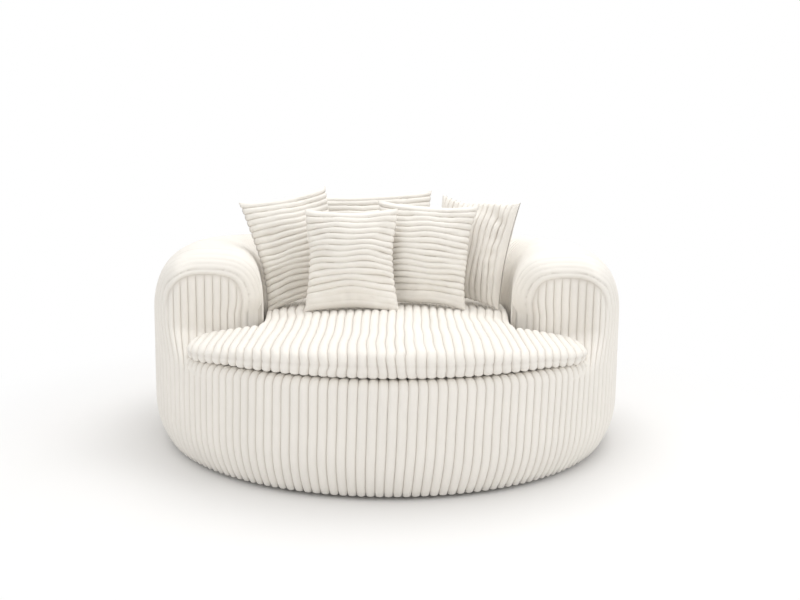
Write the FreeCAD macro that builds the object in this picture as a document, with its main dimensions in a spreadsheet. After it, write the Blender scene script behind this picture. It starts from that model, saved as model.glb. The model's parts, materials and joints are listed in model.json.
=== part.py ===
import FreeCAD, Part
import Sketcher
import math
import os

# Oversized round lounge chair: a drum base with a horseshoe wall for arms and back,
# a loose T-shaped seat cushion and five loose scatter pillows, all in wide-ribbed cloth.
# Millimetres, Z up, floor at zero, the sitter looks along -Y, origin under the middle of the plan.

doc = FreeCAD.newDocument("round_lounge_chair")
sheet = doc.addObject("Spreadsheet::Sheet", "sizes")
sheet_rows = []


def set_sizes(heading, sizes):
    """Write one block of driving sizes to the sheet, each with its alias."""
    sheet_rows.append(heading)
    sheet.set("A%d" % len(sheet_rows), heading)
    for alias, value in sizes.items():
        sheet_rows.append(alias)
        row = len(sheet_rows)
        sheet.set("A%d" % row, alias)
        sheet.set("B%d" % row, str(value))
        sheet.setAlias("B%d" % row, alias)


whole_chair_sizes = {
    "chair_width": 1560,
    "chair_depth": 1480,
    "side_straight": 60,
    "side_radius": 520,
    "base_bottom": 28,
    "tuck_width": 45,
    "tuck_height": 122,
    "arm_crest": 640,
}
arm_back_wall_sizes = {
    "wall_width": 360,
    "arch_rise": 210,
    "crown_radius_share": 0.83,
    "arm_setback": 440,
    "arm_opening": 780,
    "end_rounding": 90,
    "wall_stations": 22,
    "end_ribs": 3,
}
ribbed_cloth_sizes = {
    "cloth": 4,
    "rib_depth": 5,
    "rib_pitch": 27,
    "hoop_pitch": 56,
    "arm_cloth_ribs": 6,
    "corner_cloth_ribs": 7,
    "cloth_gap": 0.3,
    "hem_width": 40,
    "hem_height": 5,
    "top_roll": 32,
    "flange_width": 100,
}
foam_sizes = {
    "outside_foam": 25,
    "inside_foam": 60,
    "crown_foam": 140,
    "foam_bottom": 80,
    "deck_pad_height": 18,
    "drum_stations": 16,
}
timber_frame_sizes = {
    "ply": 18,
    "board": 3,
    "board_bow": 4.8,
    "fit_gap": 0.3,
    "deck_top": 315,
    "bottom_ring_inset": 58,
    "bottom_ring_width": 145,
    "upright_inset": 62,
    "upright_length": 60,
    "upright_width": 40,
    "wall_uprights": 8,
    "drum_uprights": 5,
    "wall_ribs": 11,
    "cross_rail_width": 70,
    "cross_rail_spread": 420,
    "cross_rail_landing": 70,
}
webbing_sizes = {
    "well_half_width": 330,
    "well_front": 600,
    "well_back": 195,
    "strap_width": 60,
    "strap_height": 2,
    "long_straps": 5,
    "cross_straps": 7,
    "strap_landing": 40,
}
feet_sizes = {
    "foot_radius": 20,
    "foot_circle": 620,
    "foot_count": 6,
    "foot_taper": 3,
    "foot_sides": 10,
    "screw_sides": 8,
    "screw_radius": 2.5,
    "screw_head_radius": 5,
    "screw_head_height": 3,
    "screw_recess": 8,
    "screw_grip": 12,
    "dust_cloth": 1,
}
seat_cushion_sizes = {
    "seat_clearance": 4,
    "seat_overhang": 4,
    "seat_tip_radius": 105,
    "seat_tip_end": 28,
    "seat_crown": 118,
    "seat_dome_across": 3900,
    "seat_dome_along": 4600,
    "seat_dome_ahead": 150,
    "seat_rib_pitch": 27,
    "seat_top_setback": 28,
    "seat_bottom_setback": 18,
    "seat_seam_depth": 4,
    "seat_zip_length": 520,
    "seat_zip_width": 8,
    "seat_zip_height": 3,
    "seat_zip_back": 120,
}
scatter_pillows_sizes = {
    "pillow_draw_in": 13,
    "pillow_wall": 9,
    "pillow_edge": 3.5,
    "pillow_rib_pitch": 29,
    "pillow_rib_depth": 3,
    "pillow_lean": 14,
    "pillow_smooth_share": 0.24,
    "pillow_core_share": 0.8,
    "pillow_crown_share": 0.55,
    "pillow_zip_length": 170,
    "pillow_zip_width": 4,
    "pillow_zip_height": 3,
}
left_pillow_sizes = {
    "left_pillow_width": 345,
    "left_pillow_height": 345,
    "left_pillow_thickness": 135,
    "left_pillow_across": -298,
    "left_pillow_along": 40,
    "left_pillow_yaw": 26,
    "left_pillow_roll": -8,
}
front_pillow_sizes = {
    "front_pillow_width": 310,
    "front_pillow_height": 350,
    "front_pillow_thickness": 130,
    "front_pillow_across": -118,
    "front_pillow_along": -90,
    "front_pillow_yaw": 0,
    "front_pillow_roll": -1,
}
middle_pillow_sizes = {
    "middle_pillow_width": 330,
    "middle_pillow_height": 350,
    "middle_pillow_thickness": 130,
    "middle_pillow_across": 168,
    "middle_pillow_along": -25,
    "middle_pillow_yaw": -10,
    "middle_pillow_roll": 4,
}
right_pillow_sizes = {
    "right_pillow_width": 350,
    "right_pillow_height": 320,
    "right_pillow_thickness": 125,
    "right_pillow_across": 313,
    "right_pillow_along": 85,
    "right_pillow_yaw": -38,
    "right_pillow_roll": 90,
}
back_pillow_sizes = {
    "back_pillow_width": 430,
    "back_pillow_height": 370,
    "back_pillow_thickness": 140,
    "back_pillow_across": -45,
    "back_pillow_along": 285,
    "back_pillow_yaw": 0,
    "back_pillow_roll": -3,
}
for heading, sizes in (
        ("whole chair", whole_chair_sizes),
        ("arm and back wall", arm_back_wall_sizes),
        ("ribbed cloth", ribbed_cloth_sizes),
        ("foam", foam_sizes),
        ("timber frame", timber_frame_sizes),
        ("webbing", webbing_sizes),
        ("feet", feet_sizes),
        ("seat cushion", seat_cushion_sizes),
        ("scatter pillows", scatter_pillows_sizes),
        ("left pillow", left_pillow_sizes),
        ("front pillow", front_pillow_sizes),
        ("middle pillow", middle_pillow_sizes),
        ("right pillow", right_pillow_sizes),
        ("back pillow", back_pillow_sizes)):
    set_sizes(heading, sizes)
pillows = ("left", "front", "middle", "right", "back")
doc.recompute()


def size(alias):
    """Read one driving size from the sheet."""
    return float(sheet.get(alias))


up = FreeCAD.Vector(0, 0, 1)
across = FreeCAD.Vector(1, 0, 0)
middle = FreeCAD.Vector(0, 0, 0)

# Plan of the chair: a half circle in front, a short straight stretch and a three-arc oval behind.
half_width = size("chair_width") / 2
wall_width = size("wall_width")
front_centre = half_width - size("chair_depth") / 2 + size("seat_overhang")
back_centre = front_centre + size("side_straight")
back_depth = size("chair_depth") / 2 - back_centre
side_radius = size("side_radius")
side_centre = half_width - side_radius
back_radius = (side_centre ** 2 + back_depth ** 2 - side_radius ** 2) / (2 * (back_depth - side_radius))
oval_centre = back_centre + back_depth - back_radius
side_turn = math.atan2(back_centre - oval_centre, side_centre)

# Heights from the floor up.
base_bottom = size("base_bottom")
cloth_gap = size("cloth_gap")
fit_gap = size("fit_gap")
rib_depth = size("rib_depth")
cover = size("cloth") + rib_depth
tuck_end = base_bottom + size("tuck_height")
tuck_radius = (size("tuck_width") ** 2 + size("tuck_height") ** 2) / (2 * size("tuck_width"))
ring_bottom = base_bottom + size("hem_height")
ring_top = ring_bottom + size("ply")
deck_top = size("deck_top")
deck_bottom = deck_top - size("ply")
pad_bottom = deck_top + 2 * size("strap_height")
pad_top = pad_bottom + size("deck_pad_height")
seat_level = pad_top + cloth_gap + cover
arm_crest = size("arm_crest")
arch_spring = arm_crest - size("arch_rise")
hollow_top = arm_crest - size("crown_foam")

# Layers of the wall, measured inwards from the ribs.
foam_inset = cover + cloth_gap
board_inset = foam_inset + size("outside_foam") + fit_gap
frame_inset = board_inset + size("board") + fit_gap
deck_inset = frame_inset + size("board_bow")
lining_inset = foam_inset + size("inside_foam") + fit_gap
post_inset = lining_inset + size("board") + fit_gap

# The arm fronts: a flat face, rounded back to the full section over one radius.
arm_face = size("arm_setback") - size("chair_depth") / 2
end_rounding = size("end_rounding")
end_start = arm_face + end_rounding
end_board = end_start + size("ply") + fit_gap
arm_inner = size("arm_opening") / 2
inner_bow = half_width - wall_width - arm_inner
inner_reach = front_centre - end_start
inner_radius = (inner_reach ** 2 + inner_bow ** 2) / (2 * inner_bow)

# Chords on the outer shoulder, crown and inner shoulder of the arch: cloth that shows, then layers within.
shown_steps = (2, 3, 2)
inner_steps = (2, 3, 2)


def outer_x(y):
    """Outside of the arm at this place along the chair."""
    return math.sqrt(half_width ** 2 - min(0, y - front_centre) ** 2)


def inner_x(y):
    """Inside of the arm at this place along the chair."""
    reach = min(inner_reach, max(0, front_centre - y))
    return half_width - wall_width - inner_radius + math.sqrt(inner_radius ** 2 - reach ** 2)


def polar(arc, angle):
    """A point on an arc, as distance across and height."""
    return (arc[0] + arc[2] * math.cos(angle), arc[1] + arc[2] * math.sin(angle))


def arc_points(arc, start, end, steps):
    """Points along an arc, both ends included."""
    return [polar(arc, start + (end - start) * step / steps) for step in range(steps + 1)]


def arch_points(y, inset, steps):
    """Points over the arm from outside to inside, with this many chords on each of its three arcs."""
    half = (outer_x(y) - inner_x(y)) / 2
    centre = (outer_x(y) + inner_x(y)) / 2
    rise = size("arch_rise")
    crown = size("crown_radius_share") * half
    shoulder = (half ** 2 + (rise - crown) ** 2 - crown ** 2) / (2 * (half - crown))
    turn = math.atan2(rise - crown, shoulder - half)
    outer = arc_points((centre + half - shoulder, arch_spring, shoulder - inset), 0, turn, steps[0])
    top = arc_points((centre, arm_crest - crown, crown - inset), turn, math.pi - turn, steps[1])
    inner = arc_points((centre - half + shoulder, arch_spring, shoulder - inset),
                       math.pi - turn, math.pi, steps[2])
    return outer + top[1:] + inner[1:]


def tuck_x(y, inset, height):
    """Outside of the base where it draws in towards the floor."""
    drop = max(0, tuck_end - height)
    return outer_x(y) - tuck_radius + math.sqrt((tuck_radius - inset) ** 2 - drop ** 2)


def tuck_points(y, inset):
    """Points up the tucked side of the base: bottom edge, foot of the foam and straight part."""
    heights = (base_bottom, size("foam_bottom"), tuck_end)
    return [(tuck_x(y, inset, height), height) for height in heights]


flatness = 0.0000001


def same_place(first, second):
    """Whether two corners are one."""
    return first.distanceToPoint(second) < fit_gap / 100


def flat_face(points):
    """One flat face through a closed run of corners."""
    return Part.Face(Part.makePolygon(points + points[:1]))


def strip_faces(first, second):
    """Flat faces between two runs of corners, a quadrilateral or two triangles for each pair."""
    faces = []
    for one, two, three, four in zip(first, first[1:], second[1:], second):
        corners = []
        for corner in (one, two, three, four):
            if not any(same_place(corner, other) for other in corners):
                corners.append(corner)
        if len(corners) < 3:
            continue
        if len(corners) == 4:
            normal = (two - one).cross(three - one)
            if abs(normal.dot(four - one)) > flatness * normal.Length:
                faces.append(flat_face([one, three, four]))
                corners = [one, two, three]
        faces.append(flat_face(corners))
    return faces


def loft_faces(runs):
    """Flat faces through a row of runs of corners."""
    return [face for first, second in zip(runs, runs[1:]) for face in strip_faces(first, second)]


def solid_from(faces):
    """A closed solid from its faces."""
    solid = Part.Solid(Part.Shell(faces))
    if solid.Volume < 0:
        solid.reverse()
    return solid


def loft_solid(rings):
    """Flat-faced loft through closed rings with flat ends."""
    closed = [ring + ring[:1] for ring in rings]
    return solid_from(loft_faces(closed) + [flat_face(rings[0]), flat_face(rings[-1])])


def cross_plane(y, side=1):
    """Places a point of an arm section in a plane across the chair."""
    return lambda point: FreeCAD.Vector(side * point[0], y, point[1])


back_run = back_radius * (math.pi / 2 - side_turn)
side_run = side_radius * side_turn
arm_run = half_width * math.asin((front_centre - end_start) / half_width)
wall_run = back_run + side_run + size("side_straight") + arm_run


def wall_station(run):
    """Section and plane of the wall at a distance along its outside from the middle of the back."""
    side = math.copysign(1, run)
    rest = abs(run)
    if rest < back_run:
        turn = rest / back_radius
        reach = back_radius - half_width

        def place(point):
            radius = reach + point[0]
            return FreeCAD.Vector(side * radius * math.sin(turn),
                                  oval_centre + radius * math.cos(turn), point[1])
        return front_centre, place
    rest -= back_run
    if rest < side_run:
        turn = side_turn - rest / side_radius
        reach = side_radius - half_width

        def place(point):
            radius = reach + point[0]
            return FreeCAD.Vector(side * (side_centre + radius * math.cos(turn)),
                                  back_centre + radius * math.sin(turn), point[1])
        return front_centre, place
    rest -= side_run
    if rest < size("side_straight"):
        return front_centre, cross_plane(back_centre - rest, side)
    rest -= size("side_straight")
    y = front_centre - half_width * math.sin(rest / half_width)
    return y, cross_plane(y, side)


def arm_reach(y):
    """Distance along the outside from the middle of the back to this place on the arm."""
    return wall_run - arm_run + half_width * math.asin((front_centre - y) / half_width)


def even_stations(reach, count):
    """Distances at even steps from one side to the other."""
    return [reach * (2 * step / count - 1) for step in range(count + 1)]


def wall_runs(points_at, stations):
    """Runs of corners at stations round the wall."""
    runs = []
    for step, run in enumerate(stations):
        y, place = wall_station(run)
        runs.append([place(point) for point in points_at(y, step)])
    return runs


def stations_between(knots, step):
    """Distances from the first knot to the last at nearly even steps, every knot among them."""
    stations = knots[:1]
    for start, stop in zip(knots, knots[1:]):
        count = max(1, round((stop - start) / step))
        stations += [start + (stop - start) * part / count for part in range(1, count)] + [stop]
    return stations


wall_rib_count = round(2 * wall_run / size("hoop_pitch"))
wall_grooves = even_stations(wall_run, 2 * wall_rib_count)

# Seams that join the widths of cloth on the wall, counted in ribs from its left end.
arm_seam = int(size("arm_cloth_ribs"))
corner_seam = arm_seam + int(size("corner_cloth_ribs"))
seam_stations = [wall_grooves[2 * rib] for rib in (
    arm_seam, corner_seam, wall_rib_count - corner_seam, wall_rib_count - arm_seam)]
board_reach = arm_reach(end_board)
board_stations = stations_between([-board_reach] + seam_stations + [board_reach],
                                  2 * board_reach / size("wall_stations"))
cover_stations = [-wall_run] + board_stations + [wall_run]
wall_widths = (
    ("wall_cover_left", 0, arm_seam),
    ("wall_cover_left_corner", arm_seam, corner_seam),
    ("wall_cover_back", corner_seam, wall_rib_count - corner_seam),
    ("wall_cover_right_corner", wall_rib_count - corner_seam, wall_rib_count - arm_seam),
    ("wall_cover_right", wall_rib_count - arm_seam, wall_rib_count))


def wall_solid(points_at):
    """A ring section carried round the wall between the arm panels as one solid."""
    return loft_solid(wall_runs(lambda y, step: points_at(y), board_stations))


def wall_block(run, length, points_at):
    """A straight-sided block in the wall at one station."""
    rings = []
    for end in (run - length / 2, run + length / 2):
        y, place = wall_station(end)
        rings.append([place(point) for point in points_at(y)])
    return loft_solid(rings)


def rib_inset(step):
    """Grooves at even stations, rib crests at odd ones."""
    return rib_depth * ((step + 1) % 2)


def hem_x(y):
    """Inner edge of the hem that turns under the base."""
    return tuck_x(y, 0, base_bottom) - size("hem_width")


def wall_cover(first, last):
    """One width of ribbed cloth over the arms and back, from one groove to another."""
    def outside(y, step):
        inset = rib_inset(step)
        points = tuck_points(y, inset) + arch_points(y, inset, shown_steps)
        return points + [(inner_x(y) + inset, deck_top)]

    def inside(y, step):
        points = tuck_points(y, cover) + arch_points(y, cover, inner_steps)
        return points + [(inner_x(y) + cover, deck_top)]

    stations = wall_grooves[2 * first:2 * last + 1]
    backing = [run for run in cover_stations if stations[0] <= run <= stations[-1]]
    return jacket(wall_runs(outside, stations), wall_runs(inside, backing))


def jacket(outer, inner):
    """Closed solid between a ribbed outer skin and a plain inner one that end at the same heights."""
    faces = loft_faces(outer) + loft_faces(inner)
    for end in (0, -1):
        faces.append(flat_face(outer[end] + inner[end][::-1]))
        faces.append(flat_face([run[end] for run in outer] + [run[end] for run in inner][::-1]))
    return solid_from(faces)


def wall_foam(y):
    """Foam on the wall: outside layer, roll over the top and thicker inside layer."""
    low = size("foam_bottom")
    outside = outer_x(y) - board_inset + fit_gap
    inside = inner_x(y) + lining_inset - fit_gap
    points = [(tuck_x(y, foam_inset, low), low), (outer_x(y) - foam_inset, tuck_end)]
    points += arch_points(y, foam_inset, inner_steps)
    points += [(inner_x(y) + foam_inset, deck_top), (inside, deck_top), (inside, hollow_top)]
    return points + [(outside, hollow_top), (outside, low)]


def plan_bar(outside, inside, low, high):
    """A rectangle in the hollow of the wall, between two distances across."""
    return lambda y: [(outside(y), low), (inside(y), low), (inside(y), high), (outside(y), high)]


def from_outside(inset):
    """Distance across at this depth from the outside of the wall."""
    return lambda y: outer_x(y) - inset


def from_inside(inset):
    """Distance across at this depth from the inside of the wall."""
    return lambda y: inner_x(y) + inset


def drum_runs(points_at, count):
    """Runs of corners round the front of the drum, which ends at the plane of the arm ends."""
    reach = front_centre - end_start
    runs = []
    for step in range(count + 1):
        share = 2 * step / count - 1
        run = []
        for radius, height in points_at(step):
            turn = share * math.acos(reach / radius)
            run.append(FreeCAD.Vector(
                radius * math.sin(turn), front_centre - radius * math.cos(turn), height))
        runs.append(run)
    return runs


def drum_solid(points):
    """A ring section carried round the front of the drum."""
    return loft_solid(drum_runs(lambda step: points, int(size("drum_stations"))))


def drum_block(turn, length, points):
    """A straight-sided block under the front of the drum at one turn from the middle."""
    rings = []
    for side in (-1, 1):
        ring = []
        for radius, height in points:
            x = side * length / 2
            ring.append(FreeCAD.Vector(
                radius * math.sin(turn) + x * math.cos(turn),
                front_centre - radius * math.cos(turn) + x * math.sin(turn), height))
        rings.append(ring)
    return loft_solid(rings)


def roll_points(inset, steps):
    """Points over the rolled top edge of the base, from its side to its flat top."""
    roll = size("top_roll")
    arc = (half_width - roll, seat_level - roll, roll - inset)
    return arc_points(arc, 0, math.pi / 2, steps)


def arm_room(low):
    """Blocks of space where the two arm ends stand on the base, from this height up."""
    blocks = []
    depth = end_start - arm_face + cloth_gap
    for x in (arm_inner - cloth_gap, -half_width - cloth_gap):
        corner = FreeCAD.Vector(x, arm_face - cloth_gap, low)
        width = half_width - arm_inner + 2 * cloth_gap
        blocks.append(Part.makeBox(width, depth, arm_crest - low, corner))
    return Part.makeCompound(blocks)


def base_cover():
    """Ribbed cloth over the front of the base: tuck, side, rolled top edge and deck flange."""
    flange = half_width - size("top_roll") - size("flange_width")

    def outside(step):
        inset = rib_inset(step)
        points = tuck_points(front_centre, inset) + roll_points(inset, 2)
        return points + [(flange, seat_level), (flange, seat_level - cover)]

    def inside(step):
        return tuck_points(front_centre, cover) + roll_points(cover, 2)

    run = 2 * half_width * math.acos((front_centre - end_start) / half_width)
    outer = drum_runs(outside, 2 * round(run / size("rib_pitch")))
    return jacket(outer, drum_runs(inside, int(size("drum_stations")))).cut(arm_room(deck_top))


def base_foam():
    """Foam round the front of the base, with its top edge rounded off."""
    low = size("foam_bottom")
    inner = half_width - board_inset + fit_gap
    roll = roll_points(foam_inset, 2)
    points = [(tuck_x(front_centre, foam_inset, low), low), (half_width - foam_inset, tuck_end)]
    points += roll[:2] + [(inner, roll[2][1]), (inner, low)]
    return drum_solid(points).cut(arm_room(deck_top))


def end_runs(inset, ribs, steps):
    """Runs of corners over the rounded end of an arm, from its full section to its flat face."""
    radius = size("end_rounding")
    count = 2 * int(size("end_ribs"))
    runs = []
    for step in range(count + 1):
        turn = math.pi / 2 * step / count
        reach = radius - inset - (rib_depth * (step % 2) if ribs else 0)
        y = end_start - reach * math.sin(turn)
        draw = radius - reach * math.cos(turn)
        low = deck_top + cloth_gap
        points = [(outer_x(y) - draw, low)] + arch_points(y, draw, steps)
        place = cross_plane(y)
        runs.append([place(point) for point in points + [(inner_x(y) + draw, low)]])
    return runs


def arm_cover():
    """Ribbed cloth over the rounded end of the right arm, with its flat face."""
    outer = end_runs(0, True, shown_steps)
    inner = end_runs(cover, False, inner_steps)
    faces = loft_faces(outer) + loft_faces(inner) + [flat_face(outer[-1]), flat_face(inner[-1])]
    faces.append(flat_face(outer[0] + inner[0][::-1]))
    sides = [[run[end] for run in runs] for runs in (outer, inner) for end in (0, -1)]
    faces.append(flat_face(sides[0] + sides[1][::-1] + sides[3] + sides[2][::-1]))
    return solid_from(faces)


def arm_pad():
    """Foam in the rounded end of the right arm."""
    return loft_solid(end_runs(foam_inset, False, inner_steps))


def arm_panel():
    """Plywood panel that closes the end of the right arm."""
    rings = []
    for y in (end_start, end_start + size("ply")):
        points = [(outer_x(y) - foam_inset, deck_top)] + arch_points(y, foam_inset, inner_steps)
        place = cross_plane(y)
        rings.append([place(point) for point in points + [(inner_x(y) + foam_inset, deck_top)]])
    return loft_solid(rings)


def seat_room(clearance):
    """Plan outline of the room between the arms and back, from the right arm's front round."""
    points = [(arm_inner - clearance, arm_face - clearance)]
    for run in cover_stations[::-1]:
        y, place = wall_station(run)
        corner = place((inner_x(y) - clearance, 0))
        points.append((corner.x, corner.y))
    return points + [(clearance - arm_inner, arm_face - clearance)]


def deck_outline(clearance, radius, height):
    """Corners of the seat deck: the room between the arms with two wings ahead of them."""
    turn = math.acos((front_centre - arm_face + clearance) / radius)
    count = int(size("drum_stations"))
    front = [(radius * math.sin(angle), front_centre - radius * math.cos(angle))
             for angle in [turn * (2 * step / count - 1) for step in range(count + 1)]]
    return [FreeCAD.Vector(x, y, height) for x, y in front + seat_room(clearance)]


def deck_sheet(clearance, radius, low, thickness):
    """A flat sheet with the outline of the seat deck."""
    return flat_face(deck_outline(clearance, radius, low)).extrude(up * thickness)


def round_runs(points):
    """Runs of corners all round the base, for points given by depth from the outside and height."""
    drum = drum_runs(lambda step: [(half_width - depth, height) for depth, height in points],
                     int(size("drum_stations")))
    back = wall_runs(lambda y, step: [(outer_x(y) - depth, height) for depth, height in points],
                     board_stations[1:-1])
    return drum + back[::-1]


def hem_band():
    """Edge of the cloth, turned in under the bottom ring and stapled."""
    outside = half_width - tuck_x(front_centre, cover, base_bottom) + cloth_gap
    inside = half_width - hem_x(front_centre)
    rings = round_runs([(outside, base_bottom), (inside, base_bottom),
                        (inside, ring_bottom), (outside, ring_bottom)])
    closed = [ring + ring[:1] for ring in rings + rings[:1]]
    return solid_from(loft_faces(closed))


def dust_sheet():
    """Thin cloth under the frame, inside the hem, with a hole for each foot screw."""
    inset = half_width - hem_x(front_centre) + cloth_gap
    low = ring_bottom - size("dust_cloth")
    corners = [run[0] for run in round_runs([(inset, low)])]
    sheet_shape = flat_face(corners).extrude(up * size("dust_cloth"))
    return sheet_shape.cut(foot_group(
        lambda: prism(size("screw_radius") + fit_gap, ring_top, size("screw_sides"), 0)))


def prism(radius, height, sides, low):
    """An upright bar with flat sides round a circle."""
    rings = [[FreeCAD.Vector(radius * math.cos(2 * math.pi * side / sides),
                             radius * math.sin(2 * math.pi * side / sides), level)
              for side in range(int(sides))] for level in (low, low + height)]
    return loft_solid(rings)


def foot_group(make):
    """One part for each foot, on the circle of the feet."""
    parts = []
    for number in range(int(size("foot_count"))):
        part = make()
        part.translate(FreeCAD.Vector(0, -size("foot_circle"), 0))
        part.rotate(middle, up, 360 * number / size("foot_count"))
        parts.append(part)
    return Part.makeCompound(parts)


def foot():
    """Low foot with a recess for its screw."""
    height = ring_bottom - size("dust_cloth")
    sides = int(size("foot_sides"))
    rings = []
    for radius, level in ((size("foot_radius") - size("foot_taper"), 0), (size("foot_radius"), height)):
        rings.append([FreeCAD.Vector(radius * math.cos(2 * math.pi * side / sides),
                                     radius * math.sin(2 * math.pi * side / sides), level)
                      for side in range(sides)])
    body = loft_solid(rings).cut(prism(size("screw_radius") + fit_gap, height, size("screw_sides"), 0))
    return body.cut(prism(size("screw_head_radius") + fit_gap, size("screw_recess"),
                          size("screw_sides"), 0))


def foot_screw():
    """Screw with a flat head, up through the foot into the bottom ring."""
    head = prism(size("screw_head_radius"), size("screw_head_height"), size("screw_sides"),
                 size("screw_recess") - size("screw_head_height"))
    length = ring_bottom + size("screw_grip") - size("screw_recess")
    return head.fuse(prism(size("screw_radius"), length, size("screw_sides"), size("screw_recess")))


def plan_wire(inset):
    """Closed plan outline of the chair, drawn in by inset."""
    front = half_width - inset
    side = side_radius - inset
    back = back_radius - inset
    joint = (side_centre + side * math.cos(side_turn), back_centre + side * math.sin(side_turn))
    half_turn = (side_centre + side * math.cos(side_turn / 2),
                 back_centre + side * math.sin(side_turn / 2))

    def point(x, y):
        return FreeCAD.Vector(x, y, 0)

    return Part.Wire([
        Part.Arc(point(-front, front_centre), point(0, front_centre - front),
                 point(front, front_centre)).toShape(),
        Part.makeLine(point(front, front_centre), point(front, back_centre)),
        Part.Arc(point(front, back_centre), point(*half_turn), point(*joint)).toShape(),
        Part.Arc(point(*joint), point(0, oval_centre + back), point(-joint[0], joint[1])).toShape(),
        Part.Arc(point(-joint[0], joint[1]), point(-half_turn[0], half_turn[1]),
                 point(-front, back_centre)).toShape(),
        Part.makeLine(point(-front, back_centre), point(-front, front_centre))])


def name_constraint(sketch, constraint, name, expression):
    """Add a constraint to a sketch, name it and bind it to the sheet."""
    index = sketch.addConstraint(constraint)
    sketch.renameConstraint(index, name)
    sketch.setExpression(".Constraints.%s" % name, expression)


def tie_oval(sketch, first, inset, prefix):
    """Tangent joints, radii and centres of one oval outline, bound to the sheet."""
    front, right, right_arc, back, left_arc, left = range(first, first + 6)
    for one, two in ((front, right), (right, right_arc), (right_arc, back), (back, left_arc),
                     (left_arc, left), (left, front)):
        ends = [(a, b) for a in (1, 2) for b in (1, 2)
                if (sketch.getPoint(one, a) - sketch.getPoint(two, b)).Length < fit_gap]
        sketch.addConstraint(Sketcher.Constraint("Tangent", one, ends[0][0], two, ends[0][1]))
    depth = "(sizes.chair_depth - sizes.chair_width / 2 - sizes.side_straight - sizes.seat_overhang)"
    reach = "(sizes.chair_width / 2 - sizes.side_radius)"
    back_expression = (
        "(%s * %s + %s * %s - sizes.side_radius * sizes.side_radius) / (2 * (%s - sizes.side_radius))"
        % (reach, reach, depth, depth, depth))
    for piece, name, expression in (
            (front, "front", "sizes.chair_width / 2"), (right_arc, "right", "sizes.side_radius"),
            (left_arc, "left", "sizes.side_radius"), (back, "back", back_expression)):
        name_constraint(
            sketch, Sketcher.Constraint("Radius", piece, sketch.Geometry[piece].Radius),
            prefix + name, "%s - (%s)" % (expression, inset))
    sketch.addConstraint(Sketcher.Constraint("PointOnObject", front, 3, -2))
    sketch.addConstraint(Sketcher.Constraint("PointOnObject", back, 3, -2))
    sketch.addConstraint(Sketcher.Constraint("Vertical", right))
    name_constraint(
        sketch, Sketcher.Constraint("DistanceY", -1, 1, front, 3, front_centre), prefix + "centre",
        "(sizes.chair_width - sizes.chair_depth) / 2 + sizes.seat_overhang")
    name_constraint(
        sketch, Sketcher.Constraint("Distance", right, size("side_straight")), prefix + "straight",
        "sizes.side_straight")


def flat_sketch(body, name):
    """An empty sketch on the underside of a body."""
    sketch = body.newObject("Sketcher::SketchObject", name)
    plane = [item for item in body.Origin.OriginFeatures if item.Role == "XY_Plane"][0]
    sketch.AttachmentSupport = [(plane, "")]
    sketch.MapMode = "FlatFace"
    return sketch


def oval_body(name, insets, low):
    """A plywood sheet with the chair's outline, standing at a height."""
    body = doc.addObject("PartDesign::Body", name)
    body.Label = name
    sketch = flat_sketch(body, name + "_outline")
    for number, (inset, expression) in enumerate(insets):
        first = sketch.GeometryCount
        for edge in plan_wire(inset).Edges:
            if hasattr(edge.Curve, "Radius"):
                sketch.addGeometry(edge.Curve.trim(edge.FirstParameter, edge.LastParameter), False)
            else:
                ends = [vertex.Point for vertex in edge.Vertexes]
                sketch.addGeometry(Part.LineSegment(*ends), False)
        tie_oval(sketch, first, expression, "oval_%d_" % number)
    pad = body.newObject("PartDesign::Pad", name + "_pad")
    pad.Profile = sketch
    pad.setExpression("Length", "sizes.ply")
    body.setExpression("Placement.Base.z", low)
    return body


def cut_through(body, sketch, depth):
    """Pocket upwards through a body from a sketch on its underside."""
    pocket = body.newObject("PartDesign::Pocket", sketch.Name + "_pocket")
    pocket.Profile = sketch
    pocket.Reversed = True
    pocket.setExpression("Length", depth)
    return pocket


def deck_well(body):
    """The square well in the deck that the webbing crosses."""
    sketch = flat_sketch(body, "deck_well")
    wide = size("well_half_width")
    corners = [FreeCAD.Vector(x, y, 0) for x, y in (
        (-wide, -size("well_front")), (wide, -size("well_front")),
        (wide, size("well_back")), (-wide, size("well_back")))]
    for first, second in zip(corners, corners[1:] + corners[:1]):
        sketch.addGeometry(Part.LineSegment(first, second), False)
    for side in range(4):
        sketch.addConstraint(Sketcher.Constraint("Coincident", side, 2, (side + 1) % 4, 1))
        sketch.addConstraint(Sketcher.Constraint(("Horizontal", "Vertical")[side % 2], side))
    for kind, point, distance, name, expression in (
            ("DistanceX", 2, wide, "wide_right", "sizes.well_half_width"),
            ("DistanceX", 1, -wide, "wide_left", "-sizes.well_half_width"),
            ("DistanceY", 1, -size("well_front"), "front", "-sizes.well_front")):
        name_constraint(sketch, Sketcher.Constraint(kind, -1, 1, 0, point, distance), name, expression)
    name_constraint(sketch, Sketcher.Constraint("DistanceY", -1, 1, 2, 1, size("well_back")),
                    "back", "sizes.well_back")
    return cut_through(body, sketch, "sizes.ply")


def bound_box(name, sizes, place):
    """A box with its sizes and corner bound to the sheet."""
    box = doc.addObject("Part::Box", name)
    for field, expression in zip(("Length", "Width", "Height"), sizes):
        box.setExpression(field, expression)
    for field, expression in zip("xyz", place):
        box.setExpression("Placement.Base." + field, expression)
    return box


def bound_group(name, boxes):
    """Several alike boxes as one named group."""
    group = doc.addObject("Part::Compound", name)
    group.Links = boxes
    group.Label = name
    return group


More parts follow.
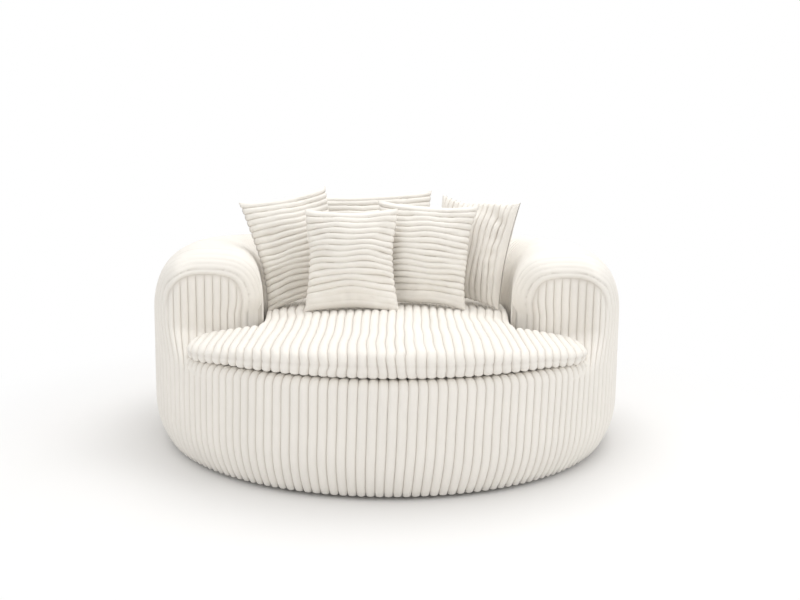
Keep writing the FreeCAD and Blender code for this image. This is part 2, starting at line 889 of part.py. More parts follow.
def webbing(name, count, first, length, low):
    """Elastic straps side by side over the well, each landing on the deck at both ends."""
    straps = []
    for number in range(count):
        share = (number + 1 - 0.5) / count
        span, start, reach = first
        step = "(%s) * %.6f - sizes.strap_width / 2 - (%s)" % (span, share, start)
        landing = "-(%s) - sizes.strap_landing" % reach
        if length[0] == "x":
            straps.append(bound_box("%s_%d" % (name, number), (
                length[1], "sizes.strap_width", "sizes.strap_height"), (landing, step, low)))
        else:
            straps.append(bound_box("%s_%d" % (name, number), (
                "sizes.strap_width", length[1], "sizes.strap_height"), (step, landing, low)))
    return bound_group(name, straps)


def add_shape(name, shape):
    """One piece whose form is worked out from the sheet with Part's own functions."""
    piece = doc.addObject("Part::Feature", name)
    piece.Label = name
    piece.Shape = shape
    return piece


def across_chair(shape):
    """The same shape on the other side of the chair."""
    return shape.mirror(middle, across)


def build_frame():
    """Plywood rings, uprights, boards, rails and panels."""
    ring = ((size("bottom_ring_inset"), "sizes.bottom_ring_inset"),
            (size("bottom_ring_inset") + size("bottom_ring_width"),
             "sizes.bottom_ring_inset + sizes.bottom_ring_width"))
    blank = oval_body("bottom_ring_blank", ring, "sizes.base_bottom + sizes.hem_height")
    holes = add_shape("screw_holes", foot_group(
        lambda: prism(size("screw_radius") + fit_gap, size("screw_grip") + fit_gap,
                      size("screw_sides"), ring_bottom)))
    bottom_ring = doc.addObject("Part::Cut", "bottom_ring")
    bottom_ring.Label = "bottom_ring"
    bottom_ring.Base = blank
    bottom_ring.Tool = holes
    inset = ("sizes.cloth + sizes.rib_depth + sizes.cloth_gap + sizes.outside_foam"
             " + sizes.board + sizes.board_bow + 2 * sizes.fit_gap")
    deck_plate = oval_body("deck_plate", ((deck_inset, inset),), "sizes.deck_top - sizes.ply")
    deck_well(deck_plate)
    rails = []
    length = "2 * sizes.foot_circle - 2 * sizes.cross_rail_landing"
    for side in (-1, 1):
        rails.append(bound_box(
            "cross_rail_%d" % side, ("sizes.cross_rail_width", length, "sizes.ply"),
            ("%d * sizes.cross_rail_spread / 2 - sizes.cross_rail_width / 2" % side,
             "sizes.cross_rail_landing - sizes.foot_circle",
             "sizes.base_bottom + sizes.hem_height + sizes.ply")))
    pieces = [bottom_ring, deck_plate, bound_group("cross_rails", rails)]
    near = size("upright_inset")
    far = near + size("upright_width")
    upright = plan_bar(from_outside(near), from_outside(far), ring_top, deck_bottom)
    turn = math.acos((front_centre - end_start) / half_width)
    blocks = [wall_block(run, size("upright_length"), upright)
              for run in mid_stations(arm_reach(end_board), int(size("wall_uprights")))]
    drum = [(half_width - near, ring_top), (half_width - far, ring_top),
            (half_width - far, deck_bottom), (half_width - near, deck_bottom)]
    blocks += [drum_block(angle, size("upright_length"), drum)
               for angle in mid_stations(turn, int(size("drum_uprights")))]
    pieces.append(add_shape("frame_uprights", Part.makeCompound(blocks)))
    rib = plan_bar(from_outside(deck_inset), from_inside(post_inset), deck_top,
                   hollow_top - size("ply"))
    ribs = [wall_block(run, size("ply"), rib)
            for run in mid_stations(arm_reach(end_board), int(size("wall_ribs")))]
    pieces.append(add_shape("wall_ribs", Part.makeCompound(ribs)))
    rail = plan_bar(from_outside(frame_inset), from_inside(post_inset),
                    hollow_top - size("ply"), hollow_top)
    pieces.append(add_shape("top_rail", wall_solid(rail)))
    outer = plan_bar(from_outside(board_inset), from_outside(board_inset + size("board")),
                     size("foam_bottom"), hollow_top)
    pieces.append(add_shape("outer_board", wall_solid(outer)))
    lining = plan_bar(from_inside(lining_inset), from_inside(lining_inset + size("board")),
                      deck_top, hollow_top)
    pieces.append(add_shape("inner_board", wall_solid(lining)))
    outside = half_width - board_inset
    inside = outside - size("board")
    low = size("foam_bottom")
    pieces.append(add_shape("front_board", drum_solid(
        [(outside, low), (outside, deck_top), (inside, deck_top), (inside, low)])))
    panel = arm_panel()
    pieces.append(add_shape("arm_panel_right", panel))
    pieces.append(add_shape("arm_panel_left", across_chair(panel)))
    return pieces


def mid_stations(reach, count):
    """Middles of even shares from one side to the other."""
    return [reach * ((2 * step + 1) / count - 1) for step in range(count)]


def build_deck():
    """Webbing, pad and platform cloth under the loose cushion."""
    low = "sizes.deck_top"
    well = "sizes.well_front + sizes.well_back"
    cross = webbing("cross_webbing", int(size("cross_straps")),
                    (well, "sizes.well_front", "sizes.well_half_width"),
                    ("x", "2 * sizes.well_half_width + 2 * sizes.strap_landing"), low)
    long = webbing("long_webbing", int(size("long_straps")),
                   ("2 * sizes.well_half_width", "sizes.well_half_width", "sizes.well_front"),
                   ("y", well + " + 2 * sizes.strap_landing"), low + " + sizes.strap_height")
    pad = add_shape("deck_pad", deck_sheet(
        cloth_gap, half_width - deck_inset, pad_bottom, size("deck_pad_height")))
    flange = half_width - size("top_roll") - size("flange_width")
    cloth = add_shape("deck_cloth", deck_sheet(
        cloth_gap, flange - cloth_gap, pad_top + cloth_gap, cover))
    return [cross, long, pad, cloth]


def build_upholstery():
    """Foam and ribbed cloth of the base, the wall and the arm ends."""
    shapes = [("wall_foam", wall_solid(wall_foam)), ("base_foam", base_foam()),
              ("base_cover", base_cover())]
    shapes += [(name, wall_cover(first, last)) for name, first, last in wall_widths]
    pad = arm_pad()
    end = arm_cover()
    shapes += [("arm_pad_right", pad), ("arm_pad_left", across_chair(pad)),
               ("arm_cover_right", end), ("arm_cover_left", across_chair(end)),
               ("hem_band", hem_band()), ("dust_cover", dust_sheet()), ("feet", foot_group(foot)),
               ("foot_screws", foot_group(foot_screw))]
    return [add_shape(name, shape) for name, shape in shapes]


# Plan of the loose cushion: a front arc, rounded wing tips and a straight neck between the arms.
seat_back_line = arm_face - size("seat_clearance")
seat_front_radius = half_width + size("seat_overhang")
tip_radius = size("seat_tip_radius")
tip_y = seat_back_line - tip_radius
tip_x = math.sqrt((seat_front_radius - tip_radius) ** 2 - (front_centre - tip_y) ** 2)
seat_bottom = seat_level + cloth_gap
seat_neck = arm_inner - size("seat_clearance")
neck_ribs = round(2 * seat_neck / size("seat_rib_pitch"))
wing_ribs = round((tip_x + tip_radius - seat_neck) / size("seat_rib_pitch"))
seat_lines = [-half_width, (seat_back_line - half_width) / 2, seat_back_line,
              seat_back_line / 2, 0, half_width / 4, half_width]


def seat_front(x, inset):
    """Front edge of the cushion at this distance across."""
    radius = seat_front_radius - inset
    turn = math.atan2(tip_x, front_centre - tip_y)
    if abs(x) < radius * math.sin(turn):
        return front_centre - math.sqrt(radius ** 2 - x ** 2)
    return tip_y - math.sqrt(max(0, (tip_radius - inset) ** 2 - (abs(x) - tip_x) ** 2))


def seat_back(x, inset, neck):
    """Back edge of the cushion at this distance across, in its neck or in a wing."""
    if not neck:
        rest = max(0, abs(x) - tip_x)
        return tip_y + math.sqrt(max(0, (tip_radius - inset) ** 2 - rest ** 2))
    clearance = wall_width + size("seat_clearance") + inset
    side = side_radius - clearance
    if abs(x) > side_centre + side * math.cos(side_turn):
        return back_centre + math.sqrt(side ** 2 - (abs(x) - side_centre) ** 2)
    return oval_centre + math.sqrt((back_radius - clearance) ** 2 - x ** 2)


def seat_dome(x, y):
    """Height of the crowned top, straight between a few lines across the cushion."""
    def height(line):
        rest = line + size("seat_dome_ahead")
        return (seat_level + size("seat_crown") - x ** 2 / (2 * size("seat_dome_across"))
                - rest ** 2 / (2 * size("seat_dome_along")))
    for first, second in zip(seat_lines, seat_lines[1:]):
        if y <= second:
            share = (y - first) / (second - first)
            return height(first) * (1 - share) + height(second) * share
    return height(seat_lines[-1])


def seat_surface(x, y):
    """Height of the cushion's top between its arms, with its ribs and grooves."""
    fall = abs((x / seat_neck + 1) * neck_ribs % 2 - 1)
    return seat_dome(x, y) - rib_depth * fall


def seat_ring(x, inset, groove, neck):
    """Closed corners of the cushion's section at this distance across."""
    front = seat_front(x, inset)
    back = seat_back(x, inset, neck)
    low = seat_bottom + inset
    crown = front + size("seat_top_setback")
    high = seat_dome(x, crown) - inset - groove
    profile = ((size("seat_bottom_setback"), 0), (groove, 0.3), (size("seat_seam_depth"), 0.48),
               (groove, 0.66), (size("seat_top_setback") / 4 + groove, 0.88))
    ring = [(front + setback, low + (high - low) * share) for setback, share in profile]
    back_line = seat_back_line - inset
    for line in seat_lines[:2] + [back_line] + seat_lines[3:]:
        y = min(max(line, crown), back)
        ring.append((y, seat_dome(x, y) - inset - groove))
    ring += [(back, low), (min(back, back_line), low)]
    return [FreeCAD.Vector(x, y, z) for y, z in ring]


def seat_skin(inset, wing_steps, neck_steps, groove):
    """Closed skin of the T-shaped cushion, drawn in by inset, with grooves between its ribs."""
    neck = seat_neck - inset
    tip = tip_x + (tip_radius - inset) * (1 - size("seat_tip_end") / tip_radius)
    wing = [neck + (tip - neck) * step / (2 * wing_steps) for step in range(2 * wing_steps + 1)]
    faces = []
    for side in (-1, 1):
        rings = [seat_ring(side * x, inset, groove * ((step + 1) % 2), False)
                 for step, x in enumerate(wing)]
        faces += loft_faces([ring + ring[:1] for ring in rings])
        faces.append(flat_face(unique(rings[-1])))
    rings = [seat_ring(neck * (step / neck_steps - 1), inset, groove * ((step + 1) % 2), True)
             for step in range(2 * neck_steps + 1)]
    faces += loft_faces([ring + ring[:1] for ring in rings])
    back_line = seat_back_line - inset - fit_gap
    for ring in (rings[0], rings[-1]):
        faces.append(flat_face(unique([point for point in ring if point.y > back_line])))
    return solid_from(faces)


def unique(points):
    """Corners without repeats."""
    kept = []
    for point in points:
        if not any(same_place(point, other) for other in kept):
            kept.append(point)
    return kept


def slot_box(length, width, height, centre, grow):
    """A box for a zip, or for its slot when grown, centred over a point at its underside."""
    corner = centre - FreeCAD.Vector(length / 2 + grow, width / 2 + grow, grow)
    return Part.makeBox(length + 2 * grow, width + 2 * grow, height + 2 * grow, corner)


def build_seat():
    """The loose cushion: ribbed cover, foam core and the zip in its underside."""
    outer = seat_skin(0, wing_ribs, neck_ribs, rib_depth)
    cavity = seat_skin(cover, 2, 4, 0)
    core = seat_skin(cover + cloth_gap, 2, 4, 0)
    sizes = (size("seat_zip_length"), size("seat_zip_width"), size("seat_zip_height"),
             FreeCAD.Vector(0, size("seat_zip_back"), seat_bottom))
    shell = outer.cut(cavity).cut(slot_box(*sizes, cloth_gap))
    return [add_shape("seat_cover", shell), add_shape("seat_core", core),
            add_shape("seat_zip", slot_box(*sizes, 0))]


def pillow_share(u, samples):
    """Crown of a pillow at this share of its half width, straight between sample lines."""
    def crown(place):
        return max(0, 1 - place ** 2) ** size("pillow_crown_share")
    for first, second in zip(samples, samples[1:]):
        if u <= second:
            share = (u - first) / (second - first)
            return crown(first) * (1 - share) + crown(second) * share
    return crown(samples[-1])


def pillow_ring(pillow, v, inset, groove):
    """Closed corners of a pillow's section at this share of its half height."""
    def value(name):
        return size("%s_pillow_%s" % (pillow, name))
    limit = 1 if inset == 0 else size("pillow_core_share")
    wide = value("width") / 2 - size("pillow_draw_in") * (1 - v ** 2)
    edge = size("pillow_edge")
    crown = value("thickness") / 2 - edge
    rise = max(0, 1 - v ** 2) ** size("pillow_crown_share")
    ring = []
    for side, samples in ((-1, (-1, -0.85, -0.5, 0, 0.5, 0.85, 1)), (1, (1, 0.75, 0, -0.75, -1))):
        ordered = sorted(samples)
        for u in samples:
            u = min(max(u, -limit), limit)
            thick = edge + crown * rise * pillow_share(u, ordered) - inset
            thick -= groove * min(1, rise * pillow_share(u, ordered) * 4)
            ring.append(FreeCAD.Vector(u * wide, side * thick, v * value("height") / 2))
    return ring


def pillow_skin(pillow, levels, inset, groove):
    """Closed skin of a pillow through its levels."""
    rings = [pillow_ring(pillow, v, inset, groove * (step % 2)) for step, v in enumerate(levels)]
    closed = [ring + ring[:1] for ring in rings]
    return solid_from(loft_faces(closed) + [flat_face(unique(rings[0])), flat_face(unique(rings[-1]))])


def pillow_place(pillow, outer):
    """Placement that stands a pillow on the ribs of the crowned seat, leaning and turned."""
    def value(name):
        return size("%s_pillow_%s" % (pillow, name))
    turn = FreeCAD.Rotation(up, value("yaw"))
    lean = FreeCAD.Rotation(across, -size("pillow_lean"))
    roll = FreeCAD.Rotation(FreeCAD.Vector(0, 1, 0), value("roll"))
    rotation = turn.multiply(lean).multiply(roll)
    place = FreeCAD.Placement(FreeCAD.Vector(value("across"), value("along"), 0), rotation)
    middles = [(place.multVec(edge.CenterOfMass).z, number) for number, edge in enumerate(outer.Edges)]
    low = min(middles)[0] + size("pillow_wall") * 2
    gap = half_width
    for edge in [outer.Edges[number] for level, number in middles if level < low]:
        for point in edge.discretize(Distance=cloth_gap * 2):
            corner = place.multVec(point)
            if abs(corner.x) < seat_neck:
                gap = min(gap, corner.z - seat_surface(corner.x, corner.y))
    place.Base.z = cloth_gap - gap
    return place


def build_pillow(pillow):
    """One scatter pillow: ribbed cover, filled insert and the zip in its lower edge."""
    half = size("%s_pillow_height" % pillow) / 2
    start = 2 * size("pillow_smooth_share") - 1
    count = 2 * round(half * (1 - start) / size("pillow_rib_pitch"))
    ribs = [start + (1 - start) * step / count for step in range(count + 1)]
    levels = [-1, (start - 3) / 4, (start - 1) / 2] + ribs
    if len(levels) % 2 == 0:
        levels.insert(1, (start - 7) / 8)
    outer = pillow_skin(pillow, levels, 0, size("pillow_rib_depth"))
    core = size("pillow_core_share")
    inner = [core * (step / 3 - 1) for step in range(7)]
    wall = size("pillow_wall")
    cavity = pillow_skin(pillow, inner, wall, 0)
    insert = pillow_skin(pillow, inner, wall + cloth_gap, 0)
    sizes = (size("pillow_zip_length"), size("pillow_zip_width"), size("pillow_zip_height"),
             FreeCAD.Vector(0, 0, -half))
    shell = outer.cut(cavity).cut(slot_box(*sizes, cloth_gap))
    place = pillow_place(pillow, outer)
    pieces = []
    for name, shape in (("cover", shell), ("insert", insert), ("zip", slot_box(*sizes, 0))):
        piece = add_shape("%s_pillow_%s" % (pillow, name), shape)
        piece.Placement = place
        pieces.append(piece)
    return pieces


def main():
    """Build every piece, check it and write it out."""
    pieces = build_frame() + build_deck() + build_upholstery() + build_seat()
    for pillow in pillows:
        pieces += build_pillow(pillow)
    doc.recompute()
    for item in doc.Objects:
        if "Invalid" in item.State or "Error" in item.State:
            raise RuntimeError("%s could not be built" % item.Label)
    os.makedirs("parts", exist_ok=True)
    for piece in pieces:
        if piece.Shape.isNull() or not piece.Shape.isValid():
            raise RuntimeError("%s has no valid shape" % piece.Label)
        piece.Shape.exportStep(os.path.join("parts", piece.Label + ".step"))


if __name__ == "__main__":
    main()
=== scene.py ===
"""Round lounge chair in wide-ribbed cloth: its cushions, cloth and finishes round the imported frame.

Metres, floor at zero, the sitter faces along -Y and the width runs along X.
"""
import json
import logging
import math
from dataclasses import dataclass, field
from enum import Enum

import bmesh
import bpy
import numpy as np
from mathutils import Matrix, Vector


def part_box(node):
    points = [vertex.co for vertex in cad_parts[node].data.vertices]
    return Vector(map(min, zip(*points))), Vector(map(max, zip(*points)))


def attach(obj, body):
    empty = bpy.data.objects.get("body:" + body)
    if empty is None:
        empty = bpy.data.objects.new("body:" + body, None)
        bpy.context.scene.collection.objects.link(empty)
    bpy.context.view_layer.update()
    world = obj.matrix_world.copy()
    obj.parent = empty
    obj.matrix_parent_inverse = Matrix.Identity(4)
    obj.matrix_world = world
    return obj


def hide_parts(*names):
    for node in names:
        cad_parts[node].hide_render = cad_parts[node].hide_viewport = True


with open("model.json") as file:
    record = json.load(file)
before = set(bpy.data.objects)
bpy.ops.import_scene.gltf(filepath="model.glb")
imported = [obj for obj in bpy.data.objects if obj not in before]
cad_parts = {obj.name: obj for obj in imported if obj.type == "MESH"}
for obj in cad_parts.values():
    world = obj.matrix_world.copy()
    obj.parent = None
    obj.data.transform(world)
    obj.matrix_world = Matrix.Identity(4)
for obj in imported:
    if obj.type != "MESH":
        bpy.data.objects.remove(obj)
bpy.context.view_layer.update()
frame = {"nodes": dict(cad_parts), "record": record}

LOG = logging.getLogger("round_lounge_chair")
RIB_SHARES = np.array([0.0, 0.03, 0.09, 0.19, 0.34, 0.5, 0.66, 0.81, 0.91, 0.97])
RIB_ROUNDING = 0.6
# Grooves this deep get the full painted shade in their colour.
FULL_PAINTED_SHADE_DEPTH = 0.005
HEM_RIB_SHARE = 0.4
FULL_TURN = 2 * math.pi
QUARTER_TURN = math.pi / 2
WHITE = (1, 1, 1, 1)


class Body(Enum):
    """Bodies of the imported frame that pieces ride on."""

    CHAIR = "chair"
    SEAT = "seat_cushion"


class Slot(Enum):
    """Material slots of the record."""

    RIBBED = "ribbed_cloth"
    FOAM = "foam"
    PLYWOOD = "plywood"
    HARDBOARD = "hardboard"
    WEBBING = "webbing"
    PLATFORM = "platform_cloth"
    DUST = "dust_cloth"
    ZIP = "zip"
    FOOT = "foot_plastic"
    SCREW = "screw_steel"


def ease(value: np.ndarray, low: float, high: float) -> np.ndarray:
    """Smooth step from 0 at low to 1 at high.

    Args:
        value: Places to look at.
        low: Where the step starts.
        high: Where the step ends.

    Returns:
        The step's value at each place.
    """
    share = np.clip((np.asarray(value, float) - low) / (high - low), 0, 1)
    return share * share * (3 - 2 * share)


def rib_crown(place: np.ndarray, power: float = 2.3) -> np.ndarray:
    """Rounded rib: 0 in the groove and 1 on the crown.

    Args:
        place: Distance across the ribs, counted in ribs.
        power: How square the rib is.

    Returns:
        Height of the rib as a share of its depth.
    """
    across = np.abs(2 * (place - np.floor(place)) - 1)
    return np.maximum(0, 1 - across ** power) ** RIB_ROUNDING


def signed_power(value: float, power: float) -> float:
    """A number's size raised to a power, with its sign kept."""
    return math.copysign(abs(value) ** power, value)


def rib_places(count: int) -> np.ndarray:
    """Sample places over a row of ribs, close together in the grooves.

    Args:
        count: How many ribs there are.

    Returns:
        Places counted in ribs, from 0 to count.
    """
    places = (np.arange(count)[:, None] + RIB_SHARES[None, :]).ravel()
    return np.append(places, float(count))


@dataclass(frozen=True)
class Ripple:
    """Smooth seeded unevenness over two directions, brought near -1 to 1 by calm."""

    seed: int
    longest: float = 0.5
    shortest: float = 0.12
    waves: int = 9
    calm: float = 1.4

    def at(self, one: np.ndarray, two: np.ndarray) -> np.ndarray:
        """Unevenness at places.

        Args:
            one: First coordinate in metres.
            two: Second coordinate in metres.

        Returns:
            Values of about -1 to 1.
        """
        draw = np.random.default_rng(self.seed)
        total = np.zeros(np.broadcast(one, two).shape)
        weight = 0.0
        for wave in range(self.waves):
            length = self.shortest + (self.longest - self.shortest) * (1 - wave / self.waves)
            turn = draw.uniform(0, FULL_TURN)
            phase = draw.uniform(0, FULL_TURN)
            share = length / self.longest
            total = total + share * np.sin(
                FULL_TURN * (one * math.cos(turn) + two * math.sin(turn)) / length + phase)
            weight += share * share
        return total / math.sqrt(weight * self.calm)


def normals_of(points: np.ndarray, flip: bool) -> np.ndarray:
    """Unit normals of a grid of points.

    Args:
        points: Rows by columns by three.
        flip: Whether the normals point the other way.

    Returns:
        One unit normal for each point.
    """
    down = np.gradient(points, axis=0)
    over = np.gradient(points, axis=1)
    normal = np.cross(over, down)
    length = np.linalg.norm(normal, axis=2, keepdims=True)
    normal = normal / np.maximum(length, 1e-12)
    return -normal if flip else normal


def line_distance(x: np.ndarray, z: np.ndarray, line: np.ndarray) -> np.ndarray:
    """Shortest distance from points to a line of straight steps.

    Args:
        x: First coordinate of the points.
        z: Second coordinate of the points.
        line: Corners of the line, one pair in each row.

    Returns:
        A distance for each point.
    """
    nearest = np.full(x.shape, np.inf)
    for start, stop in zip(line[:-1], line[1:]):
        way = stop - start
        share = ((x - start[0]) * way[0] + (z - start[1]) * way[1]) / max(way @ way, 1e-12)
        share = np.clip(share, 0, 1)
        nearest = np.minimum(nearest, np.hypot(x - start[0] - share * way[0],
                                               z - start[1] - share * way[1]))
    return nearest


@dataclass
class Patch:
    """A grid of points with the painted shade of its grooves."""

    points: np.ndarray
    # Painted shade of the grooves, 0 to 1, by which the cloth's colour is darkened.
    groove: np.ndarray
    flip: bool = False


def pressed(points: np.ndarray, crown: np.ndarray, depth: np.ndarray, flip: bool) -> Patch:
    """Press grooves into a grid along its normals, and paint shade into them.

    Args:
        points: Rows by columns by three, at the height of the crowns.
        crown: Height of the ribs as a share, 0 in the grooves.
        depth: Depth of the grooves in metres.
        flip: Whether the grid's normals point inwards as built.

    Returns:
        The ribbed grid and the painted shade of its grooves.
    """
    fall = (1 - crown) * depth
    moved = points - normals_of(points, flip) * fall[..., None]
    # Painted shade: the colour darkens where the rib falls away, more in deeper grooves.
    shade = (1 - crown) * np.clip(depth / FULL_PAINTED_SHADE_DEPTH, 0, 1)
    return Patch(moved, shade * np.ones(points.shape[:2]), flip)


def joined_mesh(name: str, patches: list, merge: float = 0.0002) -> bpy.types.Object:
    """One object from several grids, joined where their edges meet.

    Args:
        name: Name of the piece.
        patches: Grids of points.
        merge: Largest gap between points that become one.

    Returns:
        The new object, smooth shaded, with the painted shade of its grooves in a groove attribute.
    """
    points, shades, faces, first = [], [], [], 0
    for patch in patches:
        rows, columns = patch.points.shape[:2]
        index = first + np.arange(rows * columns).reshape(rows, columns)
        quads = np.stack([index[:-1, :-1], index[:-1, 1:], index[1:, 1:], index[1:, :-1]], axis=-1)
        quads = quads.reshape(-1, 4)
        faces.append(quads[:, ::-1] if patch.flip else quads)
        points.append(patch.points.reshape(-1, 3))
        shades.append(patch.groove.reshape(-1))
        first += rows * columns
    mesh = bpy.data.meshes.new(name)
    mesh.from_pydata(np.concatenate(points).tolist(), [], np.concatenate(faces).tolist())
    # The groove attribute carries painted shade, which the material mixes into the colour.
    shade = mesh.attributes.new("groove", "FLOAT", "POINT")
    shade.data.foreach_set("value", np.concatenate(shades).astype(np.float32))
    work = bmesh.new()
    work.from_mesh(mesh)
    bmesh.ops.remove_doubles(work, verts=work.verts, dist=merge)
    bmesh.ops.dissolve_degenerate(work, edges=work.edges, dist=merge / 10)
    work.to_mesh(mesh)
    work.free()
    mesh.shade_smooth()
    piece = bpy.data.objects.new(name, mesh)
    bpy.context.scene.collection.objects.link(piece)
    return piece


# Finishes

def group_of(name: str, inputs: dict, outputs: dict) -> tuple:
    """Start a shader node group with named sockets.

    Args:
        name: Name of the group.
        inputs: Socket names with their default numbers.
        outputs: Socket names with their socket types.

    Returns:
        The group, its input node and its output node.
    """
    group = bpy.data.node_groups.new(name, "ShaderNodeTree")
    for socket, value in inputs.items():
        made = group.interface.new_socket(socket, in_out="INPUT", socket_type="NodeSocketFloat")
        made.default_value = value
    for socket, kind in outputs.items():
        group.interface.new_socket(socket, in_out="OUTPUT", socket_type=kind)
    return group, group.nodes.new("NodeGroupInput"), group.nodes.new("NodeGroupOutput")


def feed(tree: bpy.types.NodeTree, item: object, target: bpy.types.NodeSocket) -> None:
    """Give a socket its value, or join it to another socket.

    Args:
        tree: Node tree.
        item: Number, colour, vector or source socket.
        target: Socket that takes it.
    """
    if isinstance(item, bpy.types.NodeSocket):
        tree.links.new(item, target)
    else:
        target.default_value = item


def value_math(tree: bpy.types.NodeTree, kind: str, one: object,
               two: object = 0.0) -> bpy.types.NodeSocket:
    """Add a math node.

    Args:
        tree: Node tree.
        kind: Operation.
        one: First socket or number.
        two: Second socket or number.

    Returns:
        The node's output socket.
    """
    node = tree.nodes.new("ShaderNodeMath")
    node.operation = kind
    feed(tree, one, node.inputs[0])
    feed(tree, two, node.inputs[1])
    return node.outputs[0]


def centred(tree: bpy.types.NodeTree, value: bpy.types.NodeSocket, middle: float,
            amount: object) -> bpy.types.NodeSocket:
    """Scale how far a value is from its middle.

    Args:
        tree: Node tree.
        value: Socket with the value.
        middle: Number that counts as no change.
        amount: Socket or number that scales the change.

    Returns:
        The change's socket.
    """
    return value_math(tree, "MULTIPLY", value_math(tree, "SUBTRACT", value, middle), amount)


def noise_of(tree: bpy.types.NodeTree, place: bpy.types.NodeSocket, scale: object,
             detail: float) -> bpy.types.NodeSocket:
    """Add a noise texture and give its value.

    Args:
        tree: Node tree.
        place: Socket with the coordinates.
        scale: Socket or number for the scale.
        detail: Levels of detail.

    Returns:
        The noise value's socket.
    """
    node = tree.nodes.new("ShaderNodeTexNoise")
    for name, item in (("Vector", place), ("Scale", scale), ("Detail", detail)):
        feed(tree, item, node.inputs[name])
    return node.outputs[0]


def smooth_range(tree: bpy.types.NodeTree, value: bpy.types.NodeSocket, ends: tuple,
                 results: tuple = (0.0, 1.0)) -> bpy.types.NodeSocket:
    """Add a smooth step between two numbers.

    Args:
        tree: Node tree.
        value: Socket with the value.
        ends: Where the step starts and ends.
        results: What it gives before and after.

    Returns:
        The step's socket.
    """
    node = tree.nodes.new("ShaderNodeMapRange")
    node.interpolation_type = "SMOOTHSTEP"
    names = ("Value", "From Min", "From Max", "To Min", "To Max")
    for name, item in zip(names, (value, *ends, *results)):
        feed(tree, item, node.inputs[name])
    return node.outputs[0]


def mixed_colour(tree: bpy.types.NodeTree, kind: str, share: object, one: object,
                 two: object) -> bpy.types.NodeSocket:
    """Mix two colours.

    Args:
        tree: Node tree.
        kind: Kind of mix.
        share: Socket or number for the second colour's share.
        one: First colour or its socket.
        two: Second colour or its socket.

    Returns:
        The mixed colour's socket.
    """
    node = tree.nodes.new("ShaderNodeMix")
    node.data_type = "RGBA"
    node.blend_type = kind
    for place, item in ((0, share), (6, one), (7, two)):
        feed(tree, item, node.inputs[place])
    return node.outputs[2]


def mixed_shader(tree: bpy.types.NodeTree, share: bpy.types.NodeSocket, one: bpy.types.Node,
                 two: bpy.types.Node) -> bpy.types.NodeSocket:
    """Mix two shaders.

    Args:
        tree: Node tree.
        share: Socket for the second shader's share.
        one: First shader.
        two: Second shader.

    Returns:
        The mixed shader's socket.
    """
    node = tree.nodes.new("ShaderNodeMixShader")
    for place, item in enumerate((share, one.outputs[0], two.outputs[0])):
        feed(tree, item, node.inputs[place])
    return node.outputs[0]


def nap_group() -> bpy.types.NodeTree:
    """Pile of a soft cloth: brushed patches in its tone and fine fibres in its height.

    Returns:
        The node group.
    """
    group, given, result = group_of(
        "pile_nap",
        {"Patch Scale": 7.0, "Fibre Scale": 700.0, "Patch Amount": 0.05, "Fibre Amount": 0.05},
        {"Tone": "NodeSocketFloat", "Fibre": "NodeSocketFloat"})
    place = group.nodes.new("ShaderNodeTexCoord").outputs["Object"]
    patch = noise_of(group, place, given.outputs["Patch Scale"], 3.0)
    fibre = noise_of(group, place, given.outputs["Fibre Scale"], 2.0)
    total = value_math(group, "ADD", centred(group, patch, 0.5, given.outputs["Patch Amount"]),
                       centred(group, fibre, 0.5, given.outputs["Fibre Amount"]))
    feed(group, value_math(group, "ADD", total, 1.0), result.inputs["Tone"])
    feed(group, fibre, result.inputs["Fibre"])
    return group


def weave_group() -> bpy.types.NodeTree:
    """Crossed threads: height and tone of a plain weave.

    Returns:
        The node group.
    """
    group, given, result = group_of(
        "crossed_threads", {"Thread Scale": 400.0, "Contrast": 0.3},
        {"Tone": "NodeSocketFloat", "Height": "NodeSocketFloat"})
    place = group.nodes.new("ShaderNodeTexCoord").outputs["Object"]
    split = group.nodes.new("ShaderNodeSeparateXYZ")
    feed(group, place, split.inputs[0])
    waves = []
    for axis in ("X", "Y"):
        turn = value_math(group, "MULTIPLY", split.outputs[axis], given.outputs["Thread Scale"])
        waves.append(value_math(group, "ABSOLUTE", value_math(group, "SINE", turn)))
    height = value_math(group, "MAXIMUM", waves[0], waves[1])
    dark = centred(group, height, 1.0, given.outputs["Contrast"])
    feed(group, value_math(group, "ADD", dark, 1.0), result.inputs["Tone"])
    feed(group, height, result.inputs["Height"])
    return group


def grain_group() -> bpy.types.NodeTree:
    """Long wood grain with fine pores.

    Returns:
        The node group.
    """
    group, given, result = group_of(
        "long_grain", {"Grain Scale": 18.0, "Stretch": 12.0, "Contrast": 0.3},
        {"Tone": "NodeSocketFloat", "Height": "NodeSocketFloat"})
    place = group.nodes.new("ShaderNodeTexCoord").outputs["Object"]
    scale = group.nodes.new("ShaderNodeCombineXYZ")
    for axis, item in enumerate((1.0, given.outputs["Stretch"], given.outputs["Stretch"])):
        feed(group, item, scale.inputs[axis])
    stretch = group.nodes.new("ShaderNodeMapping")
    feed(group, place, stretch.inputs["Vector"])
    feed(group, scale.outputs[0], stretch.inputs["Scale"])
    grain = noise_of(group, stretch.outputs[0], given.outputs["Grain Scale"], 5.0)
    dark = centred(group, grain, 0.5, given.outputs["Contrast"])
    feed(group, value_math(group, "ADD", dark, 1.0), result.inputs["Tone"])
    feed(group, grain, result.inputs["Height"])
    return group


